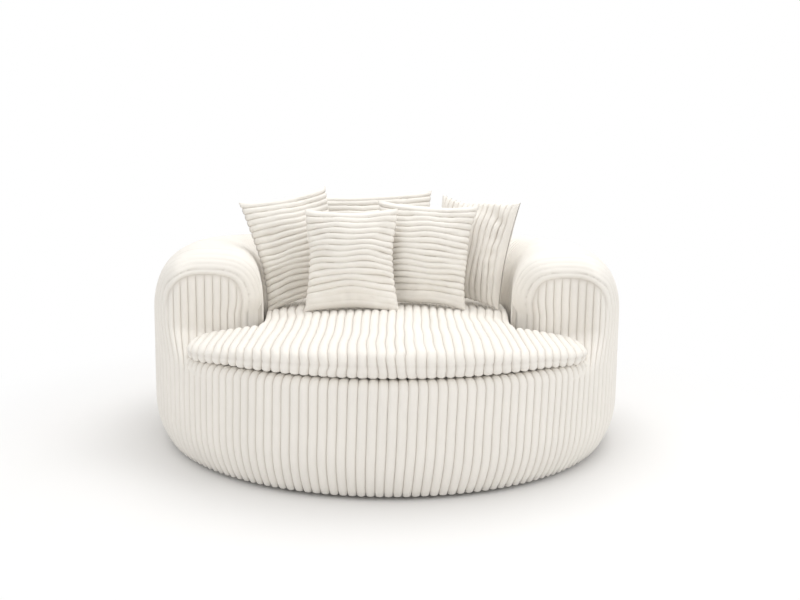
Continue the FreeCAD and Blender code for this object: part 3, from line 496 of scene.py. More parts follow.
@dataclass(frozen=True)
class Finish:
    """A finish made of one colour and one surface effect, with painted shade in the grooves where a shade
    colour is given.
    """

    name: str
    colour: tuple
    roughness: float
    effect: str
    settings: dict = field(default_factory=dict)
    height: str = "Height"
    bump: float = 0.3
    bump_depth: float = 0.0005
    metallic: float = 0.0
    specular: float = 0.25
    sheen: float = 0.0
    sheen_roughness: float = 0.45
    # Colour of the painted shade in the grooves, how it grows with the groove's shade and how much is
    # mixed in.
    painted_groove_shade_colour: tuple = ()
    painted_shade_power: float = 1.6
    painted_shade_share: float = 0.5

    def material(self, groups: dict) -> bpy.types.Material:
        """Build the material.

        Args:
            groups: Shader node groups by effect.

        Returns:
            The finished material.
        """
        made = bpy.data.materials.new(self.name)
        made.use_nodes = True
        tree = made.node_tree
        effect = tree.nodes.new("ShaderNodeGroup")
        effect.node_tree = groups[self.effect]
        for socket, value in self.settings.items():
            effect.inputs[socket].default_value = value
        grey = tree.nodes.new("ShaderNodeCombineColor")
        for channel in range(3):
            feed(tree, effect.outputs["Tone"], grey.inputs[channel])
        colour = mixed_colour(tree, "MULTIPLY", 1.0, (*self.colour, 1.0), grey.outputs[0])
        # Painted shade: the grooves darken towards the shade colour.
        if self.painted_groove_shade_colour:
            colour = self.paint_groove_shade(tree, colour)
        bump = tree.nodes.new("ShaderNodeBump")
        for socket, item in (("Strength", self.bump), ("Distance", self.bump_depth),
                             ("Height", effect.outputs[self.height])):
            feed(tree, item, bump.inputs[socket])
        shader = tree.nodes["Principled BSDF"]
        for socket, item in (("Base Color", colour), ("Roughness", self.roughness),
                             ("Metallic", self.metallic), ("Specular IOR Level", self.specular),
                             ("Sheen Weight", self.sheen), ("Sheen Roughness", self.sheen_roughness),
                             ("Normal", bump.outputs[0])):
            feed(tree, item, shader.inputs[socket])
        return made

    def paint_groove_shade(self, tree: bpy.types.NodeTree,
                       colour: bpy.types.NodeSocket) -> bpy.types.NodeSocket:
        """Paint shade into the grooves between the ribs by darkening the colour.

        Args:
            tree: Node tree of the material.
            colour: Socket with the cloth's colour.

        Returns:
            The socket of the colour with its painted shade.
        """
        mark = tree.nodes.new("ShaderNodeAttribute")
        mark.attribute_name = "groove"
        deep = value_math(tree, "POWER", mark.outputs["Fac"], self.painted_shade_power)
        share = value_math(tree, "MULTIPLY", deep, self.painted_shade_share)
        return mixed_colour(tree, "MIX", share, colour, (*self.painted_groove_shade_colour, 1.0))


FINISHES = {
    # The ribbed pile's second colour is the painted shade of its grooves.
    Slot.RIBBED: Finish("cream_ribbed_pile", (0.86, 0.828, 0.775), 0.92, "nap",
                        {"Patch Amount": 0.10, "Fibre Amount": 0.08}, "Fibre", 0.25, 0.0006,
                        sheen=0.25, painted_groove_shade_colour=(0.56, 0.51, 0.45)),
    Slot.FOAM: Finish("pale_foam", (0.86, 0.82, 0.66), 0.95, "nap",
                      {"Fibre Scale": 300.0, "Fibre Amount": 0.2}, "Fibre", 0.5, 0.001),
    Slot.PLYWOOD: Finish("raw_plywood", (0.66, 0.49, 0.31), 0.7, "grain", {"Contrast": 0.35}),
    Slot.HARDBOARD: Finish("raw_hardboard", (0.30, 0.18, 0.10), 0.75, "nap",
                           {"Fibre Scale": 250.0, "Fibre Amount": 0.35, "Patch Amount": 0.2}, "Fibre"),
    Slot.WEBBING: Finish("dark_elastic", (0.035, 0.035, 0.038), 0.85, "weave",
                         {"Thread Scale": 1500.0, "Contrast": 0.5}),
    Slot.PLATFORM: Finish("plain_platform_cloth", (0.74, 0.69, 0.61), 0.9, "weave",
                          {"Thread Scale": 2200.0, "Contrast": 0.25}, bump_depth=0.0003),
    Slot.DUST: Finish("black_dust_cloth", (0.018, 0.018, 0.018), 0.95, "nap",
                      {"Fibre Scale": 900.0, "Fibre Amount": 0.5}, "Fibre"),
    Slot.ZIP: Finish("cream_zip", (0.72, 0.67, 0.59), 0.45, "weave",
                     {"Thread Scale": 1300.0, "Contrast": 0.4}),
    Slot.FOOT: Finish("black_foot", (0.02, 0.02, 0.02), 0.5, "nap",
                      {"Fibre Scale": 500.0, "Fibre Amount": 0.3}, "Fibre", 0.2, 0.0002),
    Slot.SCREW: Finish("screw_steel", (0.5, 0.5, 0.52), 0.35, "grain",
                       {"Grain Scale": 300.0, "Contrast": 0.2}, metallic=1.0, specular=0.5, bump=0.1),
}


class Wardrobe:
    """All finishes of the chair, each made once."""

    def __init__(self) -> None:
        """Make the shared effects and the materials."""
        groups = {"nap": nap_group(), "weave": weave_group(), "grain": grain_group()}
        self.materials = {slot: finish.material(groups) for slot, finish in FINISHES.items()}

    def dress(self, piece: bpy.types.Object, slot: Slot, body: str, replaced: tuple = ()) -> None:
        """Finish a piece, seat it on its body and hide the nodes that it stands for.

        Args:
            piece: The new object.
            slot: Its material slot in the record.
            body: The body that it rides on.
            replaced: Nodes that it stands for.
        """
        piece.data.materials.append(self.materials[slot])
        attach(piece, body)
        if replaced:
            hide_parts(*replaced)
        LOG.info("%s: %d points on %s", piece.name, len(piece.data.vertices), body)


# Plan of the chair

@dataclass(frozen=True)
class Plan:
    """Outline and section of the chair's base, arms and back.

    Each of hem_steps is a row of the hem that is turned under the base: how far it lies inside
    the outline, and its height above the bottom edge.
    """

    front_radius: float = 0.78
    front_centre: float = 0.044
    back_centre: float = 0.104
    back_line: float = 0.74
    side_radius: float = 0.52
    wall_width: float = 0.36
    arm_end: float = -0.21
    arm_inner: float = 0.392
    bottom: float = 0.013
    tuck_end: float = 0.15
    tuck_width: float = 0.042
    arch_rise: float = 0.21
    crest: float = 0.64
    crown_share: float = 0.83
    outer_square: float = 2.35
    inner_square: float = 3.3
    square_from: float = -0.3
    square_to: float = 0.5
    deck_level: float = 0.3463
    inside_end: float = 0.33
    hem_steps: tuple = ((0.04, 0.004), (0.012, -0.001), (0.003, -0.0005))

    @property
    def spring(self) -> float:
        """Height where the arch starts."""
        return self.crest - self.arch_rise

    @property
    def tuck_radius(self) -> float:
        """Radius of the curve that draws the base in at the floor."""
        rise = self.tuck_end - self.bottom
        return (self.tuck_width ** 2 + rise ** 2) / (2 * self.tuck_width)

    @property
    def side_centre(self) -> float:
        """Distance across of the centres of the side arcs."""
        return self.front_radius - self.side_radius

    @property
    def back_radius(self) -> float:
        """Radius of the back."""
        depth = self.back_line - self.back_centre
        return ((self.side_centre ** 2 + depth ** 2 - self.side_radius ** 2)
                / (2 * (depth - self.side_radius)))

    @property
    def oval_centre(self) -> float:
        """Centre of the back arc along the chair."""
        return self.back_line - self.back_radius

    @property
    def side_turn(self) -> float:
        """Turn of each side arc."""
        return math.atan2(self.back_centre - self.oval_centre, self.side_centre)

    @property
    def runs(self) -> tuple:
        """Lengths along the outside of half the wall: back, side arc, straight and arm."""
        return (self.back_radius * (QUARTER_TURN - self.side_turn),
                self.side_radius * self.side_turn,
                self.back_centre - self.front_centre,
                self.front_radius * math.asin((self.front_centre - self.arm_end) / self.front_radius))

    @property
    def end_turn(self) -> float:
        """Turn of the drum, from the middle of its front to the arm end."""
        return math.acos((self.front_centre - self.arm_end) / self.front_radius)

    def outer(self, y: np.ndarray) -> np.ndarray:
        """Outside of the arm at places along the chair."""
        reach = np.minimum(0, np.asarray(y) - self.front_centre)
        return np.sqrt(self.front_radius ** 2 - reach ** 2)

    def inner(self, y: np.ndarray) -> np.ndarray:
        """Inside of the arm at places along the chair.

        Args:
            y: Places along the chair.

        Returns:
            Distances across.
        """
        reach_end = self.front_centre - self.arm_end
        bow = self.front_radius - self.wall_width - self.arm_inner
        radius = (reach_end ** 2 + bow ** 2) / (2 * bow)
        reach = np.clip(self.front_centre - np.asarray(y), 0, reach_end)
        return self.front_radius - self.wall_width - radius + np.sqrt(radius ** 2 - reach ** 2)

    def tuck(self, height: np.ndarray) -> np.ndarray:
        """How far the base draws in at heights above the floor."""
        drop = np.maximum(0, self.tuck_end - np.asarray(height))
        return self.tuck_radius - np.sqrt(self.tuck_radius ** 2 - drop ** 2)

    def arch(self, outer: np.ndarray, inner: np.ndarray, steps: tuple, full: np.ndarray) -> tuple:
        """Points over an arm from outside to inside.

        Args:
            outer: Outside of the arm, one for each column.
            inner: Inside of the arm, one for each column.
            steps: Steps over the outer shoulder, the crown and the inner shoulder.
            full: How full the shoulders are stuffed, from 0 to 1, one for each column.

        Returns:
            Distances across and heights, rows by columns.
        """
        half = (outer - inner) / 2
        centre = (outer + inner) / 2
        crown = self.crown_share * half
        shoulder = (half ** 2 + (self.arch_rise - crown) ** 2 - crown ** 2) / (2 * (half - crown))
        turn = np.arctan2(self.arch_rise - crown, shoulder - half)
        parts = ((0 * turn, turn, shoulder, half - shoulder, self.spring),
                 (turn, math.pi - 2 * turn, crown, 0 * half, self.crest - crown),
                 (math.pi - turn, turn, shoulder, shoulder - half, self.spring))
        across, heights = [], []
        for part, (first, span, radius, shift, level) in enumerate(parts):
            last = part == len(parts) - 1
            for share in np.arange(steps[part] + last) / steps[part]:
                angle = first + span * share
                across.append(shift + radius * np.cos(angle))
                heights.append(level + radius * np.sin(angle) - self.spring)
        across, heights = np.array(across), np.array(heights)
        angle = np.arctan2(heights, across)
        square = self.outer_square + (self.inner_square - self.outer_square) * ease(
            -np.cos(angle), self.square_from, self.square_to)
        reach = (np.abs(np.cos(angle) / half) ** square
                 + np.abs(np.sin(angle) / self.arch_rise) ** square) ** (-1 / square)
        stretch = 1 + full * (reach / np.hypot(across, heights) - 1)
        return centre + across * stretch, self.spring + heights * stretch

    def stations(self, runs: np.ndarray) -> tuple:
        """Where sections of the wall stand.

        Args:
            runs: Distances along the outside from the middle of the back.

        Returns:
            Start points, directions across and places along the chair, one for each run.
        """
        back, side_run, straight, _ = self.runs
        starts, ways, places = [], [], []
        for run in runs:
            side = math.copysign(1, run)
            rest = abs(run)
            if rest < back:
                turn = rest / self.back_radius
                reach = self.back_radius - self.front_radius
                way = (side * math.sin(turn), math.cos(turn))
                starts.append((reach * way[0], self.oval_centre + reach * way[1]))
                ways.append(way)
                places.append(self.front_centre)
                continue
            rest -= back
            if rest < side_run:
                turn = self.side_turn - rest / self.side_radius
                reach = self.side_radius - self.front_radius
                way = (side * math.cos(turn), math.sin(turn))
                starts.append((side * self.side_centre + reach * way[0],
                               self.back_centre + reach * way[1]))
                ways.append(way)
                places.append(self.front_centre)
                continue
            rest -= side_run
            if rest < straight:
                y = self.back_centre - rest
                places.append(self.front_centre)
            else:
                y = self.front_centre - self.front_radius * math.sin(
                    (rest - straight) / self.front_radius)
                places.append(y)
            starts.append((0.0, y))
            ways.append((side, 0.0))
        return np.array(starts), np.array(ways), np.array(places)


PLAN = Plan()


# Arms and back

@dataclass
class WallCloth:
    """Ribbed cloth over the padded arms and back, in one run of hoops."""

    plan: Plan = PLAN
    rib_pitch: float = 0.027
    rib_depth: float = 0.007
    uneven_depth: float = 0.2
    sway: float = 0.0022
    swell: float = 0.003
    swell_shift: float = 0.6
    end_calm: float = 0.08
    end_tuck: float = 0.012
    end_sink: float = 0.010
    full_from: float = 0.75
    full_to: float = 1.30
    arch_steps: tuple = (10, 22, 12)
    sway_waves: Ripple = Ripple(3, 0.6, 0.2)
    swell_waves: Ripple = Ripple(5, 0.7, 0.25)
    depth_waves: Ripple = Ripple(8, 0.5, 0.1)

    def section(self, outer: np.ndarray, inner: np.ndarray, runs: np.ndarray) -> tuple:
        """Section of the cloth at each station, from the hem outside to the foot inside.

        Args:
            outer: Outside of the wall at each station.
            inner: Inside of the wall at each station.
            runs: Distances along the outside, which say how full the shoulders are.

        Returns:
            Distances across and heights, rows by columns.
        """
        plan = self.plan
        foot = outer - plan.tuck(plan.bottom)
        across = [foot - inset for inset, _ in plan.hem_steps]
        heights = [plan.bottom + rise for _, rise in plan.hem_steps]
        for height in np.linspace(plan.bottom, plan.tuck_end, 9):
            across.append(outer - plan.tuck(height))
            heights.append(height)
        for height in np.linspace(plan.tuck_end, plan.spring, 12)[1:-1]:
            across.append(outer)
            heights.append(height)
        arch_across, arch_heights = plan.arch(
            outer, inner, self.arch_steps, ease(np.abs(runs), self.full_from, self.full_to))
        legs = np.linspace(plan.spring, plan.inside_end, 7)[1:]
        across = np.concatenate([across, arch_across, np.repeat(inner[None], len(legs), 0)])
        low, high = (np.repeat(np.array(part)[:, None], len(outer), 1) for part in (heights, legs))
        return across, np.concatenate([low, arch_heights, high])

    def settled(self, points: np.ndarray, runs: np.ndarray, length: np.ndarray) -> np.ndarray:
        """Let the hoops sway and the padding swell unevenly.

        Args:
            points: The smooth grid.
            runs: Distance of each point along the wall.
            length: Distance of each point over the section.

        Returns:
            The uneven grid.
        """
        ends = ease(sum(self.plan.runs) - np.abs(runs), 0.0, self.end_calm)
        over = ease(points[..., 2], self.plan.tuck_end, self.plan.spring)
        tangent = np.gradient(points, axis=1)
        tangent /= np.maximum(np.linalg.norm(tangent, axis=2, keepdims=True), 1e-9)
        sway = self.sway_waves.at(runs, length) * self.sway * ends
        points = points + tangent * sway[..., None]
        swell = (self.swell_waves.at(runs, length) - self.swell_shift) * self.swell * over * ends
        return points + normals_of(points, True) * swell[..., None]

    def build(self, wardrobe: Wardrobe) -> None:
        """Make the cloth and dress it.

        Args:
            wardrobe: The chair's finishes.
        """
        plan = self.plan
        reach = sum(plan.runs)
        count = round(2 * reach / self.rib_pitch)
        places = rib_places(count)
        runs = reach * (2 * places / count - 1)
        runs = np.concatenate([[-reach - self.end_tuck], runs, [reach + self.end_tuck]])
        places = np.concatenate([[0.0], places, [float(count)]])
        starts, ways, along = plan.stations(runs)
        across, heights = self.section(plan.outer(along), plan.inner(along), runs)
        points = np.empty((*across.shape, 3))
        points[..., :2] = starts[None] + across[..., None] * ways[None]
        points[..., 2] = heights
        length = np.concatenate([[0], np.cumsum(np.linalg.norm(
            np.diff(points[:, len(runs) // 2], axis=0), axis=1))])
        runs, length = np.meshgrid(runs, length)
        crown = rib_crown(np.broadcast_to(places, runs.shape))
        depth = self.rib_depth * (1 + self.uneven_depth * self.depth_waves.at(runs, length))
        depth[:2] *= HEM_RIB_SHARE
        depth[:, [0, -1]] += self.end_sink
        patch = pressed(self.settled(points, runs, length), crown, depth, True)
        piece = joined_mesh("wall_cloth", [patch])
        replaced = [name for name in frame["nodes"]
                    if name.startswith("wall_cover") or name == "wall_foam"]
        wardrobe.dress(piece, Slot.RIBBED, Body.CHAIR.value, tuple(replaced))


# Base and arm fronts

@dataclass
class FrontCloth:
    """Ribbed cloth over the front of the base and up over the ends of the arms."""

    # Ribs round the base and over the arm fronts.
    plan: Plan = PLAN
    ribs: int = 72
    side_ribs: int = 15
    front_ribs: int = 12
    nose_ribs: int = 20
    rib_pitch: float = 0.027
    rib_depth: float = 0.007
    lean: float = 0.010
    sway: float = 0.0016
    sway_waves: Ripple = Ripple(21, 0.5, 0.12)
    calm_ribs: int = 4

    # The rounded front of an arm and its foot.
    foot_draw: float = 0.026
    foot_fade: float = 0.05
    foot_ribs: int = 3
    bulge: float = 0.5
    bulge_share: float = 0.5
    bulge_spread: float = 0.3
    nose_depth: float = 0.096
    nose_drop: float = 0.004
    nose_steps: int = 70
    nose_squareness: float = 2.6
    dome_rise: float = 0.07

    # The rolled top edge of the base, and the slope beside it.
    top_roll: float = 0.032
    flange: float = 0.11
    flange_steps: tuple = (0.3, 0.65, 1.0)
    slope_low: float = 0.30
    slope_high: float = 0.45
    inner_slope_high: float = 0.395
    slope_gap: float = 0.006
    slope_ribs: int = 2

    # The closing seam and the hoops round an arm front.
    first_seam: float = 0.036
    second_seam: float = 0.046
    hoops: int = 4
    corner: float = 3.0
    least: float = 0.001
    least_rib: float = 0.01
    faint: float = 0.3
    faint_from: float = 0.02
    faint_to: float = 0.5
    panel_full: float = 2.2
    inner_spread: float = 1.35
    top_stretch: float = 1.45

    # Edges that run in behind the wall and the cushion.
    back_tuck: float = 0.014
    back_sink: float = 0.012
    shelf_ribs: int = 7
    shelf_inset: float = 0.001
    shelf_sink: float = 0.02
    shelf_drop: float = 0.01
    short_column: float = 0.02
    leg_heights: tuple = (PLAN.inside_end, 0.37, 0.40)
    cheek_drop: float = 0.015
    cheek_rise: float = 0.008
    cheek_steps: int = 6

    @property
    def arm_middle(self) -> float:
        """Distance across of the middle of the arm's end."""
        return float(self.plan.outer(self.plan.arm_end) + self.plan.inner(self.plan.arm_end)) / 2

    def drum(self, ribs: np.ndarray, height: np.ndarray) -> np.ndarray:
        """Points on the side of the base.

        Args:
            ribs: Places counted in ribs from the middle of the front.
            height: Heights above the floor, of the same shape.

        Returns:
            Points on the outside of the ribs.
        """
        plan = self.plan
        edge = ease(self.ribs / 2 - np.abs(ribs), 0, self.calm_ribs)
        slant = self.lean * (height / plan.deck_level - 0.5) * edge
        wave = self.sway * self.sway_waves.at(ribs * self.rib_pitch, height) * edge
        turn = ribs * 2 * plan.end_turn / self.ribs + (slant + wave) / plan.front_radius
        radius = plan.front_radius - plan.tuck(height)
        return np.stack([radius * np.sin(turn), plan.front_centre - radius * np.cos(turn), height], -1)

    def low_rows(self) -> np.ndarray:
        """Heights of the rows from the hem to the foot of the slope.

        Returns:
            Heights above the floor.
        """
        plan = self.plan
        return np.concatenate([np.linspace(plan.bottom, plan.tuck_end, 9),
                               np.linspace(plan.tuck_end, self.slope_low, 8)[1:]])

    def turned_under(self, points: np.ndarray) -> np.ndarray:
        """Three rows that turn a grid's bottom edge in under the base.

        Args:
            points: A grid whose first row is the bottom edge.

        Returns:
            The grid with the rows before it.
        """
        plan = self.plan
        way = points[0, :, :2] - np.array([0, plan.front_centre])
        way = way / np.linalg.norm(way, axis=1, keepdims=True)
        rows = []
        for inset, rise in plan.hem_steps:
            row = points[0].copy()
            row[:, :2] -= way * inset
            row[:, 2] = plan.bottom + rise
            rows.append(row)
        return np.concatenate([np.array(rows), points])

    def ring(self, turn: np.ndarray, radius: float, level: float) -> np.ndarray:
        """One row of points round the drum."""
        return np.stack([radius * np.sin(turn), self.plan.front_centre - radius * np.cos(turn),
                         np.full_like(turn, level)], -1)

    def roll_turns(self, ribs: np.ndarray) -> np.ndarray:
        """Angles of places counted in ribs, at the foot of the rolled top edge."""
        line = self.drum(ribs, np.full_like(ribs, self.plan.deck_level - self.top_roll))
        return np.arctan2(line[:, 0], self.plan.front_centre - line[:, 1])

    def rolled_top(self, turn: np.ndarray, sink: object) -> np.ndarray:
        """Rows over the rolled top edge of the base and in under the cushion.

        Args:
            turn: Angles round the drum.
            sink: How far inside the outline the rows lie, one number or one for each angle.

        Returns:
            Rows of points.
        """
        plan = self.plan
        rows = []
        for angle in np.linspace(0, QUARTER_TURN, 11):
            radius = plan.front_radius - self.top_roll + self.top_roll * math.cos(angle) - sink
            level = plan.deck_level - self.top_roll + self.top_roll * math.sin(angle)
            rows.append(self.ring(turn, radius, level))
        for share in self.flange_steps:
            radius = plan.front_radius - self.top_roll - self.flange * share - sink
            rows.append(self.ring(turn, radius, plan.deck_level))
        return np.array(rows)

    def middle(self) -> Patch:
        """The base front between the arms, over its rolled top edge and under the cushion.

        Returns:
            The ribbed grid.
        """
        half = self.ribs // 2 - self.side_ribs
        places = rib_places(2 * half) - half
        ribs, heights = np.meshgrid(places, self.low_rows())
        points = self.turned_under(np.concatenate(
            [self.drum(ribs, heights), self.rolled_top(self.roll_turns(places), 0.0)]))
        crown = np.broadcast_to(rib_crown(places), points.shape[:2])
        depth = np.full(points.shape[:2], self.rib_depth)
        depth[:2] *= HEM_RIB_SHARE
        return pressed(points, crown, depth, False)

    def shelf(self, side: int) -> Patch:
        """Rolled top edge of the base beside the arm front, under the cushion's wing.

        Args:
            side: 1 for the right arm, -1 for the left arm.

        Returns:
            The ribbed grid.
        """
        half = self.ribs // 2 - self.side_ribs
        places = rib_places(self.shelf_ribs) + half
        fade = np.clip((places - half) / self.shelf_ribs, 0, 1)
        sink = self.shelf_inset + self.shelf_sink * fade ** 2
        ribs = places if side > 0 else -places[::-1]
        sink = sink if side > 0 else sink[::-1]
        turn = self.roll_turns(ribs)
        foot = self.ring(turn, self.plan.front_radius - sink, self.slope_low - self.shelf_drop)
        points = np.concatenate([foot[None], self.rolled_top(turn, sink)])
        crown = np.broadcast_to(rib_crown(ribs), points.shape[:2])
        return pressed(points, crown, np.full(points.shape[:2], self.rib_depth), False)

    def arch_line(self) -> tuple:
        """Outline of the arm's full section.

        Returns:
            Distances across and heights.
        """
        outer, inner = self.plan.outer([self.plan.arm_end]), self.plan.inner([self.plan.arm_end])
        across, heights = self.plan.arch(outer, inner, (40, 80, 40), np.ones(1))
        return across[:, 0], heights[:, 0]

    def nose_line(self) -> tuple:
        """Bowed line of the arm's front from its inner to its outer end, seen from above.

        Returns:
            Lengths along it, distances across and shares of its depth.
        """
        plan = self.plan
        outer, inner = float(plan.outer(plan.arm_end)), float(plan.inner(plan.arm_end))
        half, centre = (outer - inner) / 2, (outer + inner) / 2
        angles = np.linspace(-QUARTER_TURN, QUARTER_TURN, 800)
        power = 2 / self.nose_squareness
        across = centre + half * np.sign(angles) * np.abs(np.sin(angles)) ** power
        forward = np.maximum(0, np.cos(angles)) ** power
        beside = (across - centre) / half - self.bulge_share
        forward = forward * (1 + self.bulge * np.exp(-(beside / self.bulge_spread) ** 2))
        bow = plan.arm_end - self.nose_depth * forward
        length = np.concatenate([[0], np.cumsum(np.hypot(np.diff(across), np.diff(bow)))])
        return length, across, forward

    def hoop_at(self, gap: np.ndarray, place: np.ndarray, total: float) -> np.ndarray:
        """Hoops between the outline of an arm and places on its front.

        Args:
            gap: Distances from the arch, laid flat.
            place: Distances along the front's line from its inner end.
            total: Length of that line.

        Returns:
            Places counted in hoops.
        """
        arch = np.where(gap < self.first_seam, self.hoops * gap / self.first_seam,
                        self.hoops + (gap - self.first_seam) / (self.second_seam - self.first_seam))
        outside = (total - place) * self.nose_ribs / total
        inside = place * self.nose_ribs / total * self.inner_spread
        near = [np.maximum(part, self.least) ** -self.corner for part in (arch, outside, inside)]
        hoop = (near[0] + near[1] + near[2]) ** (-1 / self.corner)
        return np.where(arch < self.least, 0.0, hoop)

    def nose(self, count: np.ndarray, height: np.ndarray) -> tuple:
        """Points on the rounded front of the right arm.

        Args:
            count: Places counted in ribs from the outer end of the front.
            height: Shares of the way from the foot of the front to the arch.

        Returns:
            Points, and the hoop that each lies on, counted inwards from the outline.
        """
        plan = self.plan
        length, line_x, forward = self.nose_line()
        place = length[-1] * (1 - count / self.nose_ribs)
        x = np.interp(place, length, line_x)
        reach = np.interp(place, length, forward)
        arch_x, arch_z = self.arch_line()
        top = np.interp(x, arch_x[::-1], arch_z[::-1])
        foot = self.slope_high - self.nose_drop
        z = foot + (np.maximum(top, foot + self.least) - foot) * height
        gap = line_distance(x, z, np.stack([arch_x, arch_z], -1))
        share = np.clip(gap / self.dome_rise, 0, 1)
        dome = np.sqrt(np.maximum(0, 1 - (1 - share) ** 2))
        y = plan.arm_end - self.nose_depth * reach * dome
        flat = np.stack([np.interp(arch_x, line_x, length), arch_z / self.top_stretch], -1)
        gap = line_distance(place, z / self.top_stretch, flat)
        hoop = self.hoop_at(gap, place, length[-1])
        draw = self.foot_draw * (1 - ease(z, self.slope_high - self.foot_fade,
                                          self.slope_high + self.foot_fade))
        x = x + draw * ease(count, self.nose_ribs / 2, self.nose_ribs)
        return np.stack([x, y, z], -1), hoop

    def nose_crown(self, ribs: np.ndarray, hoop: np.ndarray, height: np.ndarray) -> np.ndarray:
        """Ribs, closing seam and hoops of an arm's front.

        Args:
            ribs: Places counted in ribs.
            hoop: Places counted in hoops from the outline of the arm.
            height: Heights above the floor.

        Returns:
            Height of the cloth as a share.
        """
        half, seam = self.nose_ribs / 2, self.hoops + 1
        low = 1 - ease(height, self.slope_high, self.slope_high + self.foot_fade)
        low = low * (1 - ease(ribs, half, half + self.foot_ribs))
        beside = np.clip(ribs, self.least_rib, None) / seam
        upright = 1 - ease(beside - hoop / seam, self.faint_from, self.faint_to)
        strength = np.where(hoop < self.hoops, self.faint + (1 - self.faint) * upright, 1.0)
        border = 1 - strength * (1 - rib_crown(hoop))
        panel = rib_crown(ribs) * np.sqrt(ease(hoop, seam, self.hoops + self.panel_full))
        crown = np.where(hoop < seam, border, panel)
        return crown + (rib_crown(ribs) - crown) * low

    def tucked_back(self, edge: np.ndarray) -> np.ndarray:
        """A row that carries the back edge of an arm's front into the wall.

        Args:
            edge: Points of the back edge.

        Returns:
            The row, as a grid.
        """
        row = edge.copy()
        row[:, 1] += self.back_tuck
        row[:, 2] -= self.back_sink
        row[:, 0] += (self.arm_middle - row[:, 0]) * self.back_sink / self.plan.arch_rise
        return row[None]

    def front_grid(self, places: np.ndarray) -> tuple:
        """The front of the right arm, with its back edge tucked into the wall.

        Args:
            places: Places counted in ribs from the outer end of the front.

        Returns:
            Points and the height of the cloth as a share, from the foot up.
        """
        shares = 1 - (1 - np.linspace(0, 1, self.nose_steps)) ** 2
        ribs, levels = np.meshgrid(places, shares)
        points, hoop = self.nose(ribs, levels)
        crown = self.nose_crown(ribs, hoop, points[..., 2])
        points = np.concatenate([points, self.tucked_back(points[-1])])
        return points, np.concatenate([crown, crown[-1:]])

    def low_ends(self, points: np.ndarray, patch: Patch) -> Patch:
        """Press the columns that end at the foot of the arch as the row below them is pressed.

        Args:
            points: The grid before its grooves.
            patch: The pressed grid.

        Returns:
            The same grid, mended in place.
        """
        upper = self.nose_steps + 1
        short = np.ptp(points[-upper:, :, 2], axis=0) < self.short_column
        below = patch.points[-upper - 1, short] - points[-upper - 1, short]
        patch.points[-upper:, short] = points[-upper:, short] + below
        return patch

    def outer_part(self, side: int) -> Patch:
        """The side of the base, its slope and the outer part of one arm's front.

        Args:
            side: 1 for the right arm, -1 for the left arm.

        Returns:
            The ribbed grid.
        """
        places = rib_places(self.front_ribs)
        spare = self.side_ribs - self.front_ribs
        drum_places = places + spare * (1 - (1 - places / self.front_ribs) ** 2)
        ribs, heights = np.meshgrid(drum_places, self.low_rows())
        mirror = np.array([side, 1, 1])
        base = self.drum(side * (self.ribs / 2 - ribs), heights) * mirror
        foot, _ = self.nose(places[None], np.zeros((1, len(places))))
        slope_top = self.slope_high - (self.slope_high - self.inner_slope_high) * ease(
            places, self.slope_ribs, self.front_ribs)
        slope = []
        for height in np.linspace(self.slope_low, self.slope_high - self.slope_gap, 15)[1:]:
            level = np.full_like(places, height)
            share = ease((height - self.slope_low) / (slope_top - self.slope_low), 0, 1)[:, None]
            below = self.drum(side * (self.ribs / 2 - drum_places), level) * mirror
            above = foot[0].copy()
            above[:, 2] = height
            slope.append(below * (1 - share) + above * share)
        front, front_crown = self.front_grid(places)
        points = self.turned_under(np.concatenate([base, np.array(slope), front]))
        low_crown = np.broadcast_to(rib_crown(places), (len(points) - len(front), len(places)))
        crown = np.concatenate([low_crown, front_crown])
        depth = np.full(crown.shape, self.rib_depth)
        depth[:2] *= HEM_RIB_SHARE
        points[..., 0] *= side
        return self.low_ends(points, pressed(points, crown, depth, side > 0))

    def inner_part(self, side: int) -> Patch:
        """The inner part of one arm's front, carried down beside the cushion.

        Args:
            side: 1 for the right arm, -1 for the left arm.

        Returns:
            The ribbed grid.
        """
        places = rib_places(self.nose_ribs - self.front_ribs) + self.front_ribs
        front, crown = self.front_grid(places)
        legs = np.repeat(front[:1], len(self.leg_heights), 0)
        legs[..., 2] = np.array(self.leg_heights)[:, None]
        points = np.concatenate([legs, front])
        points[..., 0] *= side
        crown = np.concatenate([crown[:1]] * len(legs) + [crown])
        depth = np.full(crown.shape, self.rib_depth)
        return self.low_ends(points, pressed(points, crown, depth, side > 0))

    def cheek(self, outer: Patch, inner: Patch) -> Patch:
        """Cloth between the slope under an arm's front and the front's inner part.

        Args:
            outer: The outer part, from the hem up to the arch.
            inner: The inner part of the front.

        Returns:
            A grid from the last column of the slope to the first column of the inner part.
        """
        edge = outer.points[:, -1]
        edge = edge[(edge[:, 2] > self.slope_low - self.cheek_drop)
                    & (edge[:, 2] < self.inner_slope_high + self.cheek_rise)]
        upright = inner.points[:self.cheek_steps, 0]
        upright = upright[np.argsort(upright[:, 2])]
        facing = np.stack([np.interp(edge[:, 2], upright[:, 2], upright[:, axis]) for axis in (0, 1)]
                          + [edge[:, 2]], -1)
        share = np.linspace(0, 1, self.cheek_steps)[None, :, None]
        points = edge[:, None] * (1 - share) + facing[:, None] * share
        return Patch(points, np.zeros(points.shape[:2]), inner.flip)

    def build(self, wardrobe: Wardrobe) -> None:
        """Make the base front and both arm fronts and dress them.

        Args:
            wardrobe: The chair's finishes.
        """
        piece = joined_mesh("base_cloth", [self.middle(), self.shelf(1), self.shelf(-1)])
        wardrobe.dress(piece, Slot.RIBBED, Body.CHAIR.value, ("base_cover", "base_foam"))
        for side, name in ((-1, "left"), (1, "right")):
            outer, inner = self.outer_part(side), self.inner_part(side)
            piece = joined_mesh("arm_front_" + name, [outer, inner, self.cheek(outer, inner)])
            wardrobe.dress(piece, Slot.RIBBED, Body.CHAIR.value,
                           ("arm_cover_" + name, "arm_pad_" + name))


# Seat cushion

